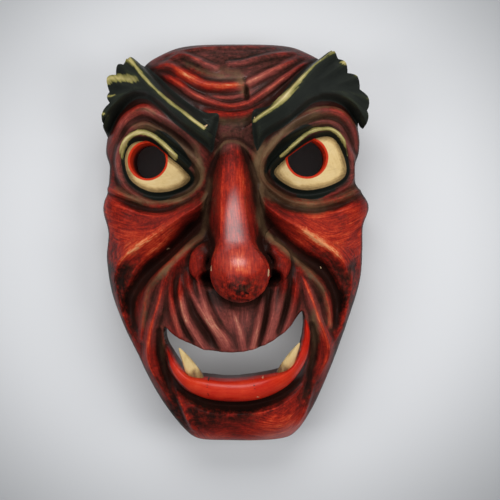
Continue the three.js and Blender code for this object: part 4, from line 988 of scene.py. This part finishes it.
# The whites darken towards their edges: stains, and the painted shadow of the lids
stain_and_lid_shadow = use(tree, patina_and_shade, {"Place": place, "Hollow": ramp_between(tree, white, -6.0, -0.6), "Amount": 0.6})
stained_and_shaded = plus(tree, (stain_and_lid_shadow["Mask"], 0.5), (cloud, 0.6), (hairs, 0.3), (fine, 0.12), 0.27)
cream = paint_range(tree, stained_and_shaded, [
    (0.0, (0.74, 0.57, 0.30)), (0.35, (0.66, 0.48, 0.22)), (0.65, (0.46, 0.31, 0.13)),
    (1.0, (0.22, 0.14, 0.055))])
in_white = ramp_between(tree, white_edge, 0.0, -0.5)
colour = blend_colour(tree, in_white, colour, cream)
ring = plus(tree, kept("hole"), (edge_wobble, 0.4))
on_ring = times(tree, ramp_between(tree, ring, 1.7, 1.1), ramp_between(tree, white, 0.5, 0.0))
colour = blend_colour(tree, on_ring, colour, (0.52, 0.030, 0.008))
cream_paint = plus(tree, (kept("cream_line"), 1.0), (hairs, 0.30), (cloud, 0.28), -0.30)
line_paint = paint_range(tree, plus(tree, (cream_paint, 0.9), (cloud, 0.4), 0.1), [
    (0.0, (0.10, 0.11, 0.03)), (0.3, (0.27, 0.24, 0.075)), (0.55, (0.50, 0.42, 0.17)),
    (0.9, (0.74, 0.62, 0.34))])
on_line = times(tree, ramp_between(tree, cream_paint, 0.05, 0.2), ramp_between(tree, white, 0.0, 0.8))
colour = blend_colour(tree, on_line, colour, line_paint)

# A few chips on sharp edges show the pale ground under the paint; cracks and pits are dark
chip = ramp_between(tree, plus(tree, kept("chip_line"), (noise(tree, place, 420, 2, 0.5), 0.9)), 0.95, 1.05)
colour = blend_colour(tree, chip, colour, (0.62, 0.42, 0.24))
crack = ramp_between(tree, kept("crack_line"), 0.25, 0.6)
colour = blend_colour(tree, crack, colour, (0.012, 0.004, 0.003))

# Deep walls are a plainer, darker red, and in the holes they are painted darker with depth as painted
# shade; the hollow and the rim are bare aged wood
below = kept("below")
side_red = paint_range(tree, plus(tree, 0.4, (cloud, 0.4), (mottle, 0.3)),
                       [(0.2, (0.030, 0.006, 0.004)), (0.8, (0.11, 0.016, 0.010))])
colour = blend_colour(tree, ramp_between(tree, below, 7.0, 16.0), colour, side_red)
painted_hole_shade = times(tree, ramp_between(tree, below, 5.0, 15.0), ramp_between(tree, kept("edge"), 2.0, 4.0))
colour = blend_colour(tree, times(tree, painted_hole_shade, 0.85), colour, (0.022, 0.007, 0.005))
grain = plus(tree, (noise(tree, place, 75, 5, 0.65, (1, 0.07, 1), 0.5), 1.5),
             (noise(tree, place, 30, 3), 0.5), -0.5)
bare = paint_range(tree, grain, [(0.2, (0.045, 0.024, 0.013)), (0.5, (0.11, 0.062, 0.033)),
                                 (0.8, (0.20, 0.125, 0.068))])
raw_wood = kept("raw")
colour = blend_colour(tree, raw_wood, colour, bare)
tree.links.new(colour, shader.inputs["Base Color"])

gloss = plus(tree, 0.40, (cloud, 0.10), (worn["Mask"], 0.18), (raw_wood, 0.25), (hairs, 0.08))
tree.links.new(gloss, shader.inputs["Roughness"])
coat = plus(tree, 0.05, kept("polish"), (raw_wood, -1.0))
tree.links.new(joined(tree, "ShaderNodeClamp", {"Value": coat}).outputs[0], shader.inputs["Coat Weight"])
surface_height = plus(tree, (hairs, 0.30), (dabs, 0.45), (noise(tree, place, 330, 4, 0.6), 0.35),
                      (cloud, 0.5), (times(tree, raw_wood, grain), 1.0))
bump = joined(tree, "ShaderNodeBump", {"Height": surface_height, "Strength": 0.45, "Distance": 0.0008})
tree.links.new(bump.outputs[0], shader.inputs["Normal"])

mask.data.materials.clear()
mask.data.materials.append(painted_wood)
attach(mask, "root")
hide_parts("mask")

# The fangs
# Two pegs whittled from paler wood, faceted by the knife, let into holes in the inner edge of the lower lip
# and glued. They are painted the cream of the eyes and yellowed by the varnish.
fang_length, fang_width, fang_flatness, fang_sink = 24.0, 11.0, 0.72, 8.5
bone_paint, tree, shader, place = new_material("fang_cream", 0.3, 0.25, 0.4)
root_share = joined(tree, "ShaderNodeAttribute", {}, attribute_name="from_root").outputs["Fac"]
streaks = plus(tree, (noise(tree, place, 260, 4, 0.6, (1, 0.25, 1)), 2.0), -1.0)
# Darker towards the root
towards_root = use(tree, patina_and_shade, {"Place": place, "Hollow": ramp_between(tree, root_share, 0.40, 0.0),
                          "Amount": 0.6})
cream = paint_range(tree, plus(tree, (towards_root["Mask"], 0.65), (streaks, 0.55), 0.28), [
    (0.0, (0.72, 0.55, 0.27)), (0.4, (0.58, 0.41, 0.17)), (0.7, (0.38, 0.25, 0.10)),
    (1.0, (0.14, 0.07, 0.03))])
tree.links.new(cream, shader.inputs["Base Color"])
tree.links.new(plus(tree, (streaks, 0.12), 0.38), shader.inputs["Roughness"])
bump = joined(tree, "ShaderNodeBump", {"Height": streaks, "Strength": 0.35, "Distance": 0.0006})
tree.links.new(bump.outputs[0], shader.inputs["Normal"])

for name, node, at, to, bend in (("fang_on_left", "left_fang", (-27.5, -95), (-38.5, -73), -0.8),
                                 ("fang_on_right", "right_fang", (35, -92.5), (46.5, -67), 0.8)):
    height = carved_height(np.array([float(at[0])]), np.array([at[1] - 7.0]))[0] - fang_sink
    start = Vector((at[0], at[1], height))
    lean = Vector((to[0] - at[0], to[1] - at[1], fang_length * 0.16)).normalized()
    turn = Vector((0, 1, 0)).rotation_difference(lean)
    stations = [(-3.5, 0.98), (0, 1.0), (3.5, 0.97), (7.2, 0.86), (11.5, 0.70), (15.5, 0.53), (19.0, 0.36),
                (22.0, 0.19), (23.7, 0.06)]
    sides = 14
    points, shares, faces = [], [], []
    for h, width in stations:
        for k in range(sides):
            angle = 2 * math.pi * k / sides
            flat = 1 / max(abs(math.cos(angle)) ** 3.2 + abs(math.sin(angle)) ** 3.2, 1e-6) ** (1 / 3.2)
            r = fang_width / 2 * width * (1 + 0.03 * math.sin(5 * angle + h * 0.4 + at[0]))
            p = Vector((r * math.cos(angle) * flat * 0.92 + bend * (h / fang_length) ** 2, h,
                        r * math.sin(angle) * flat * fang_flatness * 0.92))
            points.append((start + turn @ p) / 1000)
            shares.append(max(0.0, h / fang_length))
    for s in range(len(stations) - 1):
        for k in range(sides):
            a, b = s * sides + k, s * sides + (k + 1) % sides
            faces.append((a, a + sides, b + sides, b))
    last = (len(stations) - 1) * sides
    faces += [tuple(range(sides)), tuple(reversed(range(last, last + sides)))]
    mesh = bpy.data.meshes.new(name)
    mesh.from_pydata(points, [], faces)
    mesh.attributes.new("from_root", "FLOAT", "POINT").data.foreach_set("value", shares)
    mesh.shade_smooth()
    mesh.set_sharp_from_angle(angle=math.radians(32))
    mesh.materials.append(bone_paint)
    fang = put_in_scene(name, mesh)
    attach(fang, "root")
    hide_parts(node)

# The floor, the light and the camera
# A pale table top, painted darker away from the middle as painted shade, under soft boxes that hang above
# and to both sides, and the light of the room. The camera looks straight down at the mask.
floor_mesh = bpy.data.meshes.new("table_top")
floor_mesh.from_pydata([(-3, -3, 0), (3, -3, 0), (3, 3, 0), (-3, 3, 0)], [], [(0, 1, 2, 3)])
floor = put_in_scene("table_top", floor_mesh)
paper, tree, shader, place = new_material("table_paper", 0.0, 0.5, 0.3)
paper_colour = blend_colour(tree, noise(tree, place, 3.0, 3), (0.74, 0.75, 0.765), (0.77, 0.78, 0.80))
from_middle = joined(tree, "ShaderNodeVectorMath", {0: place}, operation="LENGTH").outputs["Value"]
# Painted shade: the paper darkens away from the middle, standing for light that falls off
painted_falloff = ramp_between(tree, from_middle, 0.155, 0.36)
paper_colour = blend_colour(tree, painted_falloff, paper_colour, (0.30, 0.31, 0.32))
tree.links.new(paper_colour, shader.inputs["Base Color"])
shader.inputs["Roughness"].default_value = 0.7
floor_mesh.materials.append(paper)

for name, spot, aim, width, depth, spread, power in (
        ("soft_box_above", (-0.03, 0.50, 0.72), (0, 0.0, 0.05), 0.6, 0.36, 120, 1.6),
        ("soft_box_left", (-0.50, -0.06, 0.58), (-0.05, -0.04, 0.02), 0.3, 0.4, 120, 0.66),
        ("soft_box_right", (0.52, -0.06, 0.58), (0.05, -0.04, 0.02), 0.3, 0.4, 120, 0.95),
        ("light_in_the_hollow", (0, -0.042, 0.045), (0, -0.085, 0), 0.05, 0.02, 170, 0.017)):
    light = bpy.data.lights.new(name, "AREA")
    light.shape, light.size, light.size_y = "RECTANGLE", width, depth
    light.spread, light.energy = math.radians(spread), power
    lamp = put_in_scene(name, light)
    lamp.location = spot
    lamp.rotation_euler = (Vector(aim) - Vector(spot)).to_track_quat("-Z", "Y").to_euler()
    lamp.visible_glossy = name == "soft_box_above"
    lamp.visible_camera = False

world = bpy.data.worlds.new("room_light")
world.use_nodes = True
world.node_tree.nodes["Background"].inputs[0].default_value = (0.95, 0.97, 1.0, 1)
world.node_tree.nodes["Background"].inputs[1].default_value = 0.28
bpy.context.scene.world = world

camera_data = bpy.data.cameras.new("camera")
camera_data.sensor_width = 36.0
camera_data.lens = 684.7 / 500 * 36.0
camera = put_in_scene("camera", camera_data)
camera.location = (0.0106, -0.0065, 0.55)
bpy.context.scene.camera = camera
bpy.context.scene.view_settings.view_transform = "Standard"
